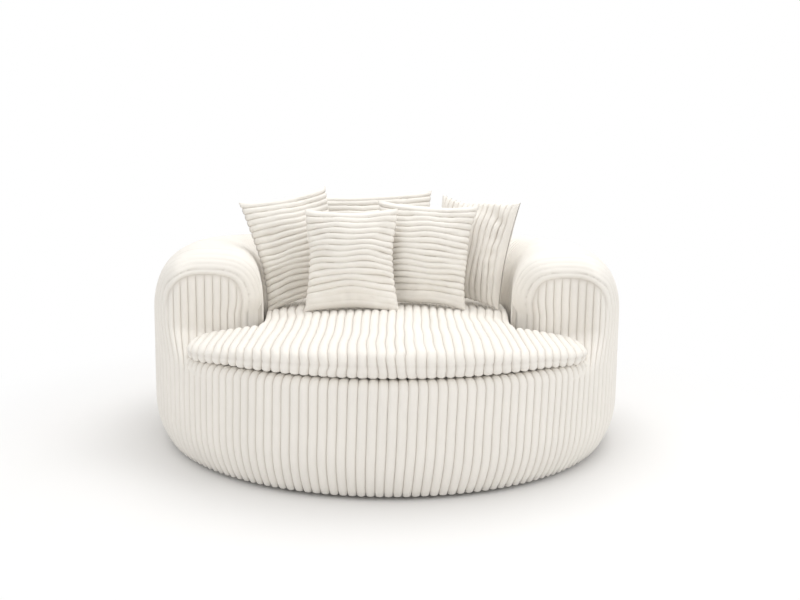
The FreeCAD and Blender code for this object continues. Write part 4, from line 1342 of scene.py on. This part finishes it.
@dataclass
class SeatCushion:
    """The loose T-shaped cushion, with ribs from front to back."""

    # Outline and thickness.
    plan: Plan = PLAN
    bottom: float = 0.3468
    crown: float = 0.098
    across_radius: float = 3.2
    along_radius: float = 8.0
    droop: float = 0.011
    droop_span: tuple = (-0.05, 0.08)
    crown_place: float = -0.15
    front_radius: float = 0.784
    tip_x: float = 0.484
    tip_y: float = -0.409
    tip_radius: float = 0.105
    tip_gap: float = 0.0004
    wing_back: float = -0.304
    neck: float = 0.394
    clearance: float = 0.004
    neck_spread: float = 0.022
    spread_from: float = -0.27
    spread_to: float = 0.04
    bluntness: float = 2.7

    # Rounding of its edges.
    edge: float = 0.044
    back_edge_share: float = 0.8
    widest_edge: float = 3.0
    neck_rounding: float = 0.6
    wing_rounding: float = 0.7
    squareness: float = 2.5
    least_room: float = 0.002
    neck_span: tuple = (-0.01, 0.03)

    # Ribs, the closing seam along the front, and the unevenness of the filling.
    top_from: float = 0.05
    top_to: float = 0.075
    seam_calm: float = 0.05
    # The seam is pressed in as a groove, and it also gets the painted groove shade.
    seam_press_and_painted_shade: float = 0.35
    seam_angle: float = 0.02
    seam_spread: float = 0.05
    front_span: float = 0.09
    rib_pitch: float = 0.0258
    rib_depth: float = 0.0086
    rib_power: float = 2.1
    under_depth: float = 0.25
    low_depth_loss: float = 0.55
    low_power: int = 6
    sway: float = 0.0042
    sway_stretch: float = 0.6
    sway_waves: Ripple = Ripple(31, 0.45, 0.13)
    bulge: float = 0.0022
    bulge_waves: Ripple = Ripple(33, 0.6, 0.16)
    swell: float = 0.0028
    swell_waves: Ripple = Ripple(35, 0.16, 0.05, 8)
    lean: float = 0.0026
    lean_waves: Ripple = Ripple(37, 0.2, 0.06, 8)
    uneven_depth: float = 0.22
    depth_waves: Ripple = Ripple(39, 0.12, 0.04, 8)

    def tip_half(self, x: np.ndarray) -> np.ndarray:
        """Half depth of a wing's blunt end at distances across."""
        rest = np.clip((np.abs(x) - self.tip_x) / self.tip_radius, 0, 1)
        return self.tip_radius * (1 - rest ** self.bluntness) ** (1 / self.bluntness)

    def front(self, x: np.ndarray) -> np.ndarray:
        """Front edge of the cushion.

        Args:
            x: Distances across.

        Returns:
            Places along the chair.
        """
        plan = self.plan
        turn = math.atan2(self.tip_x, plan.front_centre - self.tip_y)
        drum = plan.front_centre - np.sqrt(np.maximum(0, self.front_radius ** 2 - x ** 2))
        tip = self.tip_y - self.tip_half(x)
        return np.where(np.abs(x) < self.front_radius * math.sin(turn), drum, tip)

    def back(self, x: np.ndarray, neck: bool) -> np.ndarray:
        """Back edge of the neck or of a wing.

        Args:
            x: Distances across.
            neck: Whether it is the back of the neck.

        Returns:
            Places along the chair.
        """
        plan = self.plan
        if not neck:
            return self.tip_y + self.tip_half(x)
        inset = plan.wall_width + self.clearance
        side = plan.side_radius - inset
        corner = plan.back_centre + np.sqrt(np.maximum(0, side ** 2 - np.maximum(
            0, np.abs(x) - plan.side_centre) ** 2))
        oval = plan.oval_centre + np.sqrt((plan.back_radius - inset) ** 2 - x ** 2)
        return np.where(np.abs(x) > plan.side_centre + side * math.cos(plan.side_turn), corner, oval)

    def dome(self, x: np.ndarray, y: np.ndarray) -> np.ndarray:
        """Height of the crowned top."""
        return (self.bottom + self.crown - x ** 2 / (2 * self.across_radius)
                - (y - self.crown_place) ** 2 / (2 * self.along_radius))

    def rows(self, x: np.ndarray, neck: bool, rounding: np.ndarray) -> list:
        """Rows round the cushion: front edge, top, back edge and underside.

        Args:
            x: Distances across.
            neck: Whether the hoops run to the back of the neck.
            rounding: Share of the thickness at each distance across.

        Returns:
            Places along, heights, share of the ribs' depth and strength of the seam, row by row.
        """
        front, back = self.front(x), self.back(x, neck)
        room = np.maximum(back - front, self.least_room)
        widen = np.minimum(np.sqrt(1 + np.gradient(front, x) ** 2), self.widest_edge)
        front_edge = np.minimum(self.edge * widen, room * 0.5)
        back_edge = np.minimum(self.edge * self.back_edge_share, room * 0.5)
        droop_from, droop_to = (self.tip_x + part for part in self.droop_span)
        base = self.bottom - self.droop * ease(np.abs(x), droop_from, droop_to)
        power = 2 / self.squareness
        rows = []

        def low_high(y: np.ndarray) -> tuple:
            """Heights of the underside and the top, drawn together at the rounded ends.

            Args:
                y: Places along the chair.

            Returns:
                The lower and the upper height at each distance across.
            """
            factor = rounding
            if neck:
                beside = ease(y, *(self.wing_back + part for part in self.neck_span))
                factor = 1 - beside * (1 - rounding)
            high = self.dome(x, y)
            middle = base + (high - base) * 0.5
            return middle - (middle - base) * factor, middle + (high - middle) * factor

        def face(shares: np.ndarray, upper: bool) -> None:
            """Add the rows of the top or the underside.

            Args:
                shares: Shares of the way from the front edge to the back edge.
                upper: Whether it is the top.
            """
            for share in shares:
                y = front + front_edge + (room - front_edge - back_edge) * share
                rows.append((y, low_high(y)[upper], 1.0 if upper else self.under_depth, 0.0))

        def roll(turns: np.ndarray, line: np.ndarray, size: np.ndarray, way: int) -> None:
            """Add the rows round the front or the back edge.

            Args:
                turns: Angles in degrees, up from the middle of the edge.
                line: Places of the edge along the chair.
                size: Reach of the rounding from that edge.
                way: 1 at the front, -1 at the back.
            """
            for angle in np.radians(turns):
                low, high = low_high(line + way * size)
                seam = math.exp(-((angle - self.seam_angle) / self.seam_spread) ** 2)
                rows.append((line + way * (size * (1 - abs(math.cos(angle)) ** power)),
                             (low + high) / 2 + (high - low) / 2 * signed_power(math.sin(angle), power),
                             1.0 - self.low_depth_loss * max(0.0, -math.sin(angle)) ** self.low_power,
                             seam if way == 1 else 0.0))

        roll(np.linspace(-90, 90, 25), front, front_edge, 1)
        face(np.linspace(0, 1, 38)[1:-1], True)
        roll(np.linspace(90, -90, 25), back, back_edge, -1)
        face(np.linspace(1, 0, 8)[1:-1], False)
        return rows + rows[:1]

    def grid(self, x: np.ndarray, ribs: np.ndarray, neck: bool, end: float, end_side: int) -> Patch:
        """Closed hoops round the cushion, one for each distance across.

        Args:
            x: Distances across.
            ribs: Rib count at each distance.
            neck: Whether the hoops run to the back of the neck.
            end: Distance across where this part of the cushion ends.
            end_side: 0 for both ends, or the side of the rounded end.

        Returns:
            The ribbed grid.
        """
        across = end_side * x if end_side else np.abs(x)
        reach = self.edge * (self.neck_rounding if neck else self.wing_rounding)
        near = np.clip((end - across) / reach, 0, 1)
        rounding = np.maximum(0, 1 - (1 - near) ** self.squareness) ** (1 / self.squareness)
        rows = self.rows(x, neck, rounding)
        y, z = (np.array([row[part] for row in rows]) for part in (0, 1))
        depth, seam = (np.array([row[part] for row in rows])[:, None] for part in (2, 3))
        x = np.broadcast_to(x, y.shape)
        top = ease(z, self.bottom + self.top_from, self.bottom + self.top_to)
        away = ease(np.abs(np.abs(x) - self.neck), 0.0, self.seam_calm)
        front = 1 - ease(y - self.front(x[0]), 0.0, self.front_span)
        sway = self.sway_waves.at(x * self.sway_stretch, y) * self.sway * top * away
        bulge = self.bulge_waves.at(x, y) * self.bulge * top
        spread = x * (self.neck_spread / self.neck * ease(y, self.spread_from, self.spread_to)) * neck
        swell = self.swell_waves.at(x, z) * self.swell * front
        lean = self.lean_waves.at(x, z * 2) * self.lean * front * away
        points = np.stack([x + sway + spread + lean, y + swell, z + bulge], -1)
        # The seam is pressed in like a groove, which deepens it and adds painted groove shade.
        crown = np.clip(rib_crown(ribs, self.rib_power) - self.seam_press_and_painted_shade * seam, 0, 1)
        depth = self.rib_depth * depth * (1 + self.uneven_depth * self.depth_waves.at(x, z * 2))
        return pressed(points, crown, depth, False)

    def build(self, wardrobe: Wardrobe) -> None:
        """Make the cushion and dress it.

        Args:
            wardrobe: The chair's finishes.
        """
        neck_count = 2 * round(self.neck / self.rib_pitch)
        places = rib_places(neck_count)
        patches = [self.grid(self.neck * (2 * places / neck_count - 1), places, True, self.neck, 0)]
        reach = self.tip_x + self.tip_radius - self.tip_gap
        wing_count = round((reach - self.neck) / self.rib_pitch)
        places = rib_places(wing_count)
        x = self.neck + (reach - self.neck) * places / wing_count
        patches.append(self.grid(x, places, False, reach, 1))
        patches.append(self.grid(-x[::-1], places, False, reach, -1))
        piece = joined_mesh("seat_cushion_cloth", patches)
        wardrobe.dress(piece, Slot.RIBBED, Body.SEAT.value, ("seat_cover", "seat_core"))


# Scatter pillows

def smooth_between(values: tuple, share: np.ndarray) -> np.ndarray:
    """Smooth curve through four even steps, between the second and the third.

    Args:
        values: Points at the four steps.
        share: Shares of the way from the second to the third.

    Returns:
        Points of the curve.
    """
    one, two, three, four = values
    return two + 0.5 * share * (three - one + share * (
        2 * one - 5 * two + 4 * three - four + share * (3 * (two - three) + four - one)))


def grid_value(grid: np.ndarray, u: np.ndarray, v: np.ndarray) -> np.ndarray:
    """Smooth points of a square grid at places from -1 to 1.

    Args:
        grid: Rows by columns by three.
        u: Places along the rows.
        v: Places along the columns.

    Returns:
        A point for each place.
    """
    count = len(grid) - 1
    steps = (-1, 0, 1, 2)
    columns, rows = (np.clip((part + 1) / 2, 0, 1) * count for part in (u, v))
    column, row = (np.clip(np.floor(part).astype(int), 0, count - 1) for part in (columns, rows))
    lines = []
    for step in steps:
        line = np.clip(row + step, 0, count)
        lines.append(smooth_between(
            tuple(grid[line, np.clip(column + side, 0, count)] for side in steps),
            (columns - column)[..., None]))
    return smooth_between(tuple(lines), (rows - row)[..., None])


def fill_pillows(pillows: tuple, count: int = 40, frames: int = 20) -> None:
    """Fill the flat pillow covers and keep the forms that they take.

    Args:
        pillows: The scatter pillows.
        count: Squares along each side of a cover.
        frames: Steps of the filling.
    """
    scene = bpy.context.scene
    covers = [pillow.sheet(count) for pillow in pillows]
    scene.frame_start, scene.frame_end = 1, frames
    for step in range(1, frames + 1):
        scene.frame_set(step)
    for pillow, cover in zip(pillows, covers):
        pillow.keep_form(cover, count)
        bpy.data.objects.remove(cover, do_unlink=True)
    scene.frame_set(1)


@dataclass
class Pillow:
    """A loose scatter pillow with ribs across it."""

    # Size and place, as the photo shows them.
    name: str
    width: float
    height: float
    thickness: float
    yaw: float
    roll: float
    seed: int
    arch: float = 0.006
    smooth_share: float = 0.0
    draw_in: float = 0.02
    end_draw: float = 0.8
    lean: float = -14.0
    shift: tuple = (0.0, 0.0, -0.02)
    taper: float = 0.0

    # The plain form and its filling.
    edge: float = 0.0015
    fullness: float = 0.47
    flatness: float = 2.2
    uneven: float = 0.25
    rough: float = 0.05
    stiffness: float = 4.0
    pressure: float = 4.0
    slack: float = 0.012
    flat_bulge: float = 0.006
    flat_uneven: float = 0.3
    cloth_share: float = 0.6
    seam_share: float = 0.3
    corner_from: float = 0.45
    corner_to: float = 0.85
    form: tuple = ()

    # Its ribs.
    rib_pitch: float = 0.021
    rib_depth: float = 0.0085
    steps: int = 56
    crowding: float = 0.6
    arch_level: float = 0.6
    sway: float = 0.0045
    calm_end: float = 0.35
    rim_depth: float = 0.6
    side_rim: float = 0.07
    end_rim: float = 0.04
    smooth_depth: float = 0.22
    smooth_start: float = 0.6
    smooth_fade: float = 0.04
    merge: float = 0.0012

    def outline(self, u: np.ndarray, v: np.ndarray) -> tuple:
        """Points of the pillow's plane, with its sides drawn in between the corners.

        Args:
            u: Places across, from -1 to 1.
            v: Places up, from -1 to 1.

        Returns:
            Distances across and up.
        """
        draw = Ripple(self.seed, 1.6, 0.7, 4)
        side = self.draw_in * (1 - v ** 2) * (1 + self.uneven * draw.at(v, np.sign(u)))
        end = self.draw_in * self.end_draw * (1 - u ** 2) * (1 + self.uneven * draw.at(u, np.sign(v)))
        return u * (self.width / 2 - side), v * (self.height / 2 - end)

    def plump(self, u: np.ndarray, v: np.ndarray) -> np.ndarray:
        """Half thickness of the filled pillow as a share."""
        near = (1 - np.abs(u) ** self.flatness) * (1 - np.abs(v) ** self.flatness)
        return np.maximum(0, near) ** self.fullness

    def surface(self, u: np.ndarray, v: np.ndarray, side: int) -> np.ndarray:
        """Points of the front or back of the pillow, between the plain and the filled form.

        Args:
            u: Places across, from -1 to 1.
            v: Places up, from -1 to 1.
            side: -1 for the front, 1 for the back.

        Returns:
            A point for each place.
        """
        x, z = self.outline(u, v)
        rough = 1 + self.rough * Ripple(self.seed + 1, 0.9, 0.35, 6).at(u, v + side)
        y = side * (self.edge + (self.thickness / 2 - self.edge) * self.plump(u, v) * rough)
        points = np.stack([x, y, z], -1)
        if self.form:
            filled = grid_value(self.form[side > 0], u, v)
            inside = ease(1 - np.abs(u), 0, self.seam_share) * ease(1 - np.abs(v), 0, self.seam_share)
            corner = (ease(np.abs(u), self.corner_from, self.corner_to)
                      * ease(np.abs(v), self.corner_from, self.corner_to))
            share = self.cloth_share * (inside * (1 - corner))
            points = points + (filled - points) * share[..., None]
        points[..., 0] *= 1 + self.taper * v
        return points

    def sheet(self, count: int) -> bpy.types.Object:
        """Two flat sheets sewn together at their edges, ready to be filled.

        Args:
            count: Squares along each side.

        Returns:
            The flat cover with its cloth settings.
        """
        line = np.linspace(-1, 1, count + 1)
        u, v = np.meshgrid(line, line)
        bulge = (1 - u ** 2) * (1 - v ** 2)
        uneven = 1 + self.flat_uneven * Ripple(self.seed + 4, 1.5, 0.5, 6).at(u, v)
        x, z = self.outline(u, v)
        front = np.stack([x, -self.flat_bulge * bulge * uneven, z], -1)
        back = front * np.array([1, -1, 1])
        index = np.arange((count + 1) ** 2).reshape(count + 1, count + 1)
        second = index.copy()
        second[1:-1, 1:-1] = (count + 1) ** 2 + np.arange((count - 1) ** 2).reshape(count - 1, -1)
        points = np.concatenate([front.reshape(-1, 3), back[1:-1, 1:-1].reshape(-1, 3)])
        faces = []
        for grid, turn in ((index, 1), (second, -1)):
            quads = np.stack([grid[:-1, :-1], grid[:-1, 1:], grid[1:, 1:], grid[1:, :-1]], -1)
            faces.append(quads.reshape(-1, 4)[:, ::turn])
        mesh = bpy.data.meshes.new(self.name + "_flat")
        mesh.from_pydata(points.tolist(), [], np.concatenate(faces).tolist())
        cover = bpy.data.objects.new(self.name + "_flat", mesh)
        bpy.context.scene.collection.objects.link(cover)
        seam = cover.vertex_groups.new(name="seam")
        rim = np.concatenate([index[0], index[-1], index[1:-1, 0], index[1:-1, -1]])
        seam.add(rim.tolist(), 1.0, "ADD")
        cloth = cover.modifiers.new("filling", "CLOTH").settings
        for name, value in (("vertex_group_mass", "seam"), ("shrink_min", -self.slack), ("quality", 6),
                            ("mass", 0.2), ("tension_stiffness", 14), ("compression_stiffness", 14),
                            ("shear_stiffness", 6), ("bending_stiffness", self.stiffness),
                            ("use_pressure", True), ("uniform_pressure_force", self.pressure)):
            setattr(cloth, name, value)
        cloth.effector_weights.gravity = 0
        return cover

    def keep_form(self, cover: bpy.types.Object, count: int) -> None:
        """Keep the filled cover's points as the pillow's form, at the pillow's own thickness.

        Args:
            cover: The filled cover.
            count: Squares along each side.
        """
        shaped = cover.evaluated_get(bpy.context.evaluated_depsgraph_get())
        points = np.empty(len(shaped.data.vertices) * 3)
        shaped.data.vertices.foreach_get("co", points)
        points = points.reshape(-1, 3)
        low, high = points.min(0), points.max(0)
        points[:, 1] *= self.thickness / (high[1] - low[1])
        front = points[:(count + 1) ** 2].reshape(count + 1, count + 1, 3)
        back = front.copy()
        back[1:-1, 1:-1] = points[(count + 1) ** 2:].reshape(count - 1, count - 1, 3)
        self.form = (front, back)
        LOG.info("%s pillow filled to %s", self.name, np.round(high - low, 3))

    def half(self, side: int) -> Patch:
        """Ribbed front or back of the pillow.

        Args:
            side: -1 for the front, 1 for the back.

        Returns:
            The ribbed grid.
        """
        count = round(self.height / self.rib_pitch)
        places = rib_places(count)
        edge = np.sin(np.linspace(-QUARTER_TURN, QUARTER_TURN, self.steps + 1))
        even = np.linspace(-1, 1, self.steps + 1)
        across = self.crowding * edge + (1 - self.crowding) * even
        u, v = np.meshgrid(across, 2 * places / count - 1)
        sway = self.sway * Ripple(self.seed + 2, 1.4, 0.5, 6).at(u, v)
        wave = (self.arch * (self.arch_level - u ** 2) + sway) * ease(1 - np.abs(v), 0, self.calm_end)
        points = self.surface(u, v + wave * 2 / self.height, side)
        rim = self.rim_depth + (1 - self.rim_depth) * ease(1 - np.abs(u), 0.0, self.side_rim)
        rim = rim * ease(1 - np.abs(v), 0.0, self.end_rim)
        ribbed = np.ones_like(v)
        if self.smooth_share and side < 0:
            ribbed = ease((v + 1) / 2, self.smooth_share * self.smooth_start,
                          self.smooth_share + self.smooth_fade)
        uneven = 1 + self.uneven * Ripple(self.seed + 3, 1.0, 0.4, 6).at(u, v)
        depth = self.rib_depth * rim * (self.smooth_depth + (1 - self.smooth_depth) * ribbed) * uneven
        crown = np.broadcast_to(rib_crown(places)[:, None], u.shape)
        return pressed(points, crown, depth, side > 0)

    def build(self, wardrobe: Wardrobe) -> None:
        """Make the pillow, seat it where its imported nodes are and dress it.

        Args:
            wardrobe: The chair's finishes.
        """
        halves = [self.half(-1), self.half(1)]
        piece = joined_mesh(self.name + "_pillow_cloth", halves, self.merge)
        turns = ((self.yaw, "Z"), (self.lean, "X"), (self.roll, "Y"))
        yaw, lean, roll = (Matrix.Rotation(math.radians(angle), 4, axis) for angle, axis in turns)
        piece.data.transform(yaw @ lean @ roll)
        low, high = (Vector(corner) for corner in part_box(self.name + "_pillow_cover"))
        points = [vertex.co for vertex in piece.data.vertices]
        shift = Vector([(low[axis] + high[axis]) / 2 - (
            min(point[axis] for point in points) + max(point[axis] for point in points)) / 2
            for axis in range(3)])
        piece.data.transform(Matrix.Translation(shift + Vector(self.shift)))
        wardrobe.dress(piece, Slot.RIBBED, self.name + "_pillow",
                       (self.name + "_pillow_cover", self.name + "_pillow_insert"))


PILLOWS = (
    Pillow("left", 0.32, 0.38, 0.135, 26, -10, 101, shift=(-0.012, -0.01, -0.012)),
    Pillow("front", 0.305, 0.335, 0.13, 0, -1, 112, arch=0.012, smooth_share=0.2, draw_in=0.015,
           shift=(0.0, -0.04, -0.036)),
    Pillow("middle", 0.325, 0.35, 0.13, -10, 2, 123, arch=0.003, smooth_share=0.12,
           shift=(-0.04, -0.02, -0.024), taper=0.06),
    Pillow("right", 0.37, 0.32, 0.125, -38, 93, 134, arch=0.004, shift=(-0.028, 0.0, -0.01)),
    Pillow("back", 0.43, 0.37, 0.14, 0, -3, 145, arch=0.004, shift=(0.0, 0.0, -0.012)),
)


# Seat deck and underside

def reach_of(node: str, turns: np.ndarray, inward: bool = True) -> np.ndarray:
    """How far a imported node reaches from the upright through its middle.

    Args:
        node: Name of the node.
        turns: Angles in radians.
        inward: Look from outside for the outline, or from the middle for the opening.

    Returns:
        A distance for each angle.
    """
    source = frame["nodes"][node]
    low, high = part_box(node)
    middle = Vector((0, (low[1] + high[1]) / 2, (low[2] + high[2]) / 2))
    into = source.matrix_world.inverted()
    reaches = []
    for turn in turns:
        way = Vector((math.cos(turn), math.sin(turn), 0))
        start = middle + way * 2 if inward else middle
        ray = into.to_3x3() @ (-way if inward else way)
        hit, place, _, _ = source.ray_cast(into @ start, ray.normalized())
        reaches.append(((source.matrix_world @ place) - middle).length if hit else 0.0)
    return np.array(reaches)


def turned_rows(node: str, reach: np.ndarray, turns: np.ndarray, heights: np.ndarray) -> np.ndarray:
    """Points at distances from the upright through a node's middle.

    Args:
        node: Name of the node.
        reach: A distance for each angle.
        turns: Angles in radians.
        heights: Height of the row, one number or one for each angle.

    Returns:
        A row of points.
    """
    low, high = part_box(node)
    x = reach * np.cos(turns)
    y = (low[1] + high[1]) / 2 + reach * np.sin(turns)
    return np.stack([x, y, heights * np.ones_like(x)], -1)


@dataclass
class SeatDeck:
    """Padded platform cloth under the loose cushion, with a sewn border."""

    sag: float = 0.0022
    soft: float = 0.0006
    soft_waves: Ripple = Ripple(61, 0.5, 0.2)
    edge: float = 0.006
    under: tuple = (0.0, 0.5, 0.97)
    side_shares: tuple = (0.97, 0.88)
    border: float = 0.86
    border_half: float = 0.008
    field: float = 0.82
    stitch_depth: float = 0.0018
    stitch_width: float = 0.0035
    turns: int = 180

    def build(self, wardrobe: Wardrobe) -> None:
        """Make the deck inside its packed outline and dress it.

        Args:
            wardrobe: The chair's finishes.
        """
        turns = np.linspace(0, FULL_TURN, self.turns + 1)
        reach = reach_of("deck_cloth", turns)
        bottom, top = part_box("deck_pad")[0][2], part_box("deck_cloth")[1][2]
        rows = [(reach * share, bottom) for share in self.under]
        for angle in np.linspace(0, QUARTER_TURN, 5):
            rows.append((reach - self.edge * (1 - math.cos(angle)),
                         top - self.edge * (1 - math.sin(angle))))
        seam = self.border + np.linspace(self.border_half, -self.border_half, 9)
        side, middle = np.linspace(*self.side_shares, 5), np.linspace(self.field, 0.0, 16)
        for share in np.concatenate([side, seam, middle]):
            groove = self.stitch_depth * math.exp(-((share - self.border) / self.stitch_width) ** 2)
            waves = self.soft_waves.at(share * np.cos(turns), share * np.sin(turns))
            rows.append((reach * share,
                         top - groove - self.sag * (1 - share ** 2) - self.soft * (1 + waves)))
        grid = np.stack([turned_rows("deck_cloth", row, turns, height) for row, height in rows])
        piece = joined_mesh("seat_deck_cloth", [Patch(grid, np.zeros(grid.shape[:2]))])
        wardrobe.dress(piece, Slot.PLATFORM, Body.CHAIR.value, ("deck_cloth", "deck_pad"))


@dataclass
class Underside:
    """Turned hem of the cover and the thin cloth stretched inside it."""

    turns: int = 240
    thickness: float = 0.0007
    inset: float = 0.001
    pucker: float = 0.0008
    tacks: int = 60
    bead: float = 0.3
    bead_span: tuple = (0.08, 0.16)
    gather: float = 0.15
    across_power: float = 0.25
    rise_power: float = 0.7
    pucker_span: tuple = (0.8, 0.97)
    rim_span: tuple = (0.985, 1.0)
    merge: float = 0.00005

    def hem(self, wardrobe: Wardrobe) -> None:
        """Make the hem band with a rolled inner edge.

        Args:
            wardrobe: The chair's finishes.
        """
        turns = np.linspace(0, FULL_TURN, self.turns + 1)
        outer, inner = reach_of("hem_band", turns), reach_of("hem_band", turns, False)
        low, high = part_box("hem_band")[0][2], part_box("hem_band")[1][2]
        middle, half = (low + high) / 2, (high - low) / 2
        gathers = 1 - self.gather * (1 + np.cos(turns * self.tacks * 2)) / 2
        rows = []
        for angle in np.linspace(0, FULL_TURN, 33):
            rise = signed_power(math.sin(angle), self.rise_power)
            share = (1 + signed_power(math.cos(angle), self.across_power)) / 2
            bead = 1 - self.bead * float(ease(share, *self.bead_span))
            rows.append(turned_rows("hem_band", inner + (outer - inner) * share, turns,
                                    middle + half * bead * rise * gathers))
        grid = np.stack(rows)
        piece = joined_mesh("hem_cloth", [Patch(grid, np.zeros(grid.shape[:2]), True)])
        wardrobe.dress(piece, Slot.RIBBED, Body.CHAIR.value, ("hem_band",))

    def cover(self, wardrobe: Wardrobe) -> None:
        """Make the thin cloth, puckered at the tacks that hold it.

        Args:
            wardrobe: The chair's finishes.
        """
        turns = np.linspace(0, FULL_TURN, self.turns + 1)
        reach = reach_of("dust_cover", turns) - self.inset
        low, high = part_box("dust_cover")[0][2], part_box("dust_cover")[1][2]
        rows = []
        for side, shares in ((1, np.linspace(0, 1, 24)), (-1, np.linspace(1, 0, 24))):
            for share in shares:
                gathers = self.pucker * float(ease(share, *self.pucker_span))
                gathers *= 1 - float(ease(share, *self.rim_span))
                wave = gathers * np.cos(turns * self.tacks)
                level = (low + high) / 2 + side * self.thickness / 2 * (share < 1) + wave
                rows.append(turned_rows("dust_cover", reach * share, turns, level))
        grid = np.stack(rows)
        piece = joined_mesh("dust_cover_cloth", [Patch(grid, np.zeros(grid.shape[:2]), True)], self.merge)
        wardrobe.dress(piece, Slot.DUST, Body.CHAIR.value, ("dust_cover",))

    def build(self, wardrobe: Wardrobe) -> None:
        """Make both pieces.

        Args:
            wardrobe: The chair's finishes.
        """
        self.hem(wardrobe)
        self.cover(wardrobe)


# Studio

@dataclass
class Studio:
    """Pale floor, soft lamps and the camera."""

    eye: tuple = (0.0, -3.05, 0.933)
    pitch: float = 9.05
    yaw: float = 0.79
    roll: float = 0.7
    lens: float = 40.8
    sensor: float = 36.0
    view_end: float = 100.0
    floor_size: float = 40.0
    floor_shift: float = 6.0
    floor_colour: tuple = (0.86, 0.855, 0.85, 1)
    floor_roughness: float = 0.9
    floor_specular: float = 0.1
    white_ends: tuple = (0.86, 1.75)
    sky_colour: tuple = (1.0, 0.995, 0.985, 1)
    sky_ends: tuple = (-0.05, 0.55)
    sky_strengths: tuple = (0.18, 0.94)
    aim: tuple = (0, -0.1, 0.35)
    lamps: tuple = (("top_lamp", (0.35, 0.35, 3.2), 2.2, 32.0),
                    ("right_lamp", (3.2, -2.2, 2.0), 1.8, 21.0),
                    ("left_lamp", (-1.9, -3.2, 2.1), 2.0, 17.0))

    def floor(self) -> None:
        """Lay the floor, white far from the chair."""
        bpy.ops.mesh.primitive_grid_add(x_subdivisions=8, y_subdivisions=8, size=self.floor_size,
                                        location=(0, self.floor_shift, 0))
        floor = bpy.context.object
        floor.name = "studio_floor"
        made = bpy.data.materials.new("pale_floor")
        made.use_nodes = True
        tree = made.node_tree
        shader = tree.nodes["Principled BSDF"]
        for socket, value in (("Base Color", self.floor_colour), ("Roughness", self.floor_roughness),
                              ("Specular IOR Level", self.floor_specular)):
            shader.inputs[socket].default_value = value
        white = tree.nodes.new("ShaderNodeEmission")
        white.inputs["Color"].default_value = WHITE
        shift, length = (tree.nodes.new("ShaderNodeVectorMath") for _ in range(2))
        shift.operation, length.operation = "ADD", "LENGTH"
        shift.inputs[1].default_value = (0, self.floor_shift, 0)
        feed(tree, tree.nodes.new("ShaderNodeTexCoord").outputs["Object"], shift.inputs[0])
        feed(tree, shift.outputs[0], length.inputs[0])
        far = smooth_range(tree, length.outputs["Value"], self.white_ends)
        seen = tree.nodes.new("ShaderNodeLightPath").outputs["Is Camera Ray"]
        mixed = mixed_shader(tree, value_math(tree, "MULTIPLY", far, seen), shader, white)
        feed(tree, mixed, tree.nodes["Material Output"].inputs["Surface"])
        floor.data.materials.append(made)

    def sky(self) -> None:
        """Set the world: bright above, dim below, and white where the camera sees it."""
        world = bpy.data.worlds.new("studio")
        bpy.context.scene.world = world
        world.use_nodes = True
        tree = world.node_tree
        back = tree.nodes["Background"]
        back.inputs["Color"].default_value = self.sky_colour
        split = tree.nodes.new("ShaderNodeSeparateXYZ")
        feed(tree, tree.nodes.new("ShaderNodeTexCoord").outputs["Generated"], split.inputs[0])
        strength = smooth_range(tree, split.outputs[2], self.sky_ends, self.sky_strengths)
        feed(tree, strength, back.inputs["Strength"])
        white = tree.nodes.new("ShaderNodeBackground")
        white.inputs["Color"].default_value = WHITE
        seen = tree.nodes.new("ShaderNodeLightPath").outputs["Is Camera Ray"]
        mixed = mixed_shader(tree, seen, back, white)
        feed(tree, mixed, tree.nodes["World Output"].inputs["Surface"])

    def light(self) -> None:
        """Set the soft lamps."""
        for name, place, size, power in self.lamps:
            lamp = bpy.data.lights.new(name, "AREA")
            lamp.shape = "DISK"
            lamp.size = size
            lamp.energy = power
            stand = bpy.data.objects.new(name, lamp)
            stand.location = place
            way = Vector(self.aim) - Vector(place)
            stand.rotation_euler = way.to_track_quat("-Z", "Y").to_euler()
            bpy.context.scene.collection.objects.link(stand)

    def camera(self) -> None:
        """Place the camera at the photo's angle."""
        made = bpy.data.cameras.new("camera")
        made.lens = self.lens
        made.sensor_width = self.sensor
        made.clip_end = self.view_end
        stand = bpy.data.objects.new("camera", made)
        bpy.context.scene.collection.objects.link(stand)
        turns = ((-self.yaw, "Z"), (90 - self.pitch, "X"), (self.roll, "Z"))
        yaw, pitch, roll = (Matrix.Rotation(math.radians(angle), 4, axis) for angle, axis in turns)
        stand.matrix_world = Matrix.Translation(self.eye) @ (yaw @ pitch @ roll)
        bpy.context.scene.camera = stand

    def build(self) -> None:
        """Set up the whole studio."""
        self.floor()
        self.sky()
        self.light()
        self.camera()
        bpy.context.scene.view_settings.view_transform = "Standard"


# Carried pieces

def dress_nodes(wardrobe: Wardrobe) -> None:
    """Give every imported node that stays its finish.

    Args:
        wardrobe: The chair's finishes.
    """
    slots = {slot.value: slot for slot in Slot}
    for part in frame["record"]["subparts"]:
        slot = slots.get(part["material_slot"])
        node = frame["nodes"].get(part["node"])
        if slot is None or node is None:
            continue
        node.data.materials.clear()
        node.data.materials.append(wardrobe.materials[slot])


def main() -> None:
    """Build the chair's looks in order."""
    logging.basicConfig(level=logging.INFO)
    wardrobe = Wardrobe()
    dress_nodes(wardrobe)
    WallCloth().build(wardrobe)
    FrontCloth().build(wardrobe)
    SeatCushion().build(wardrobe)
    fill_pillows(PILLOWS)
    for pillow in PILLOWS:
        pillow.build(wardrobe)
    SeatDeck().build(wardrobe)
    Underside().build(wardrobe)
    Studio().build()


if __name__ == "__main__":
    main()
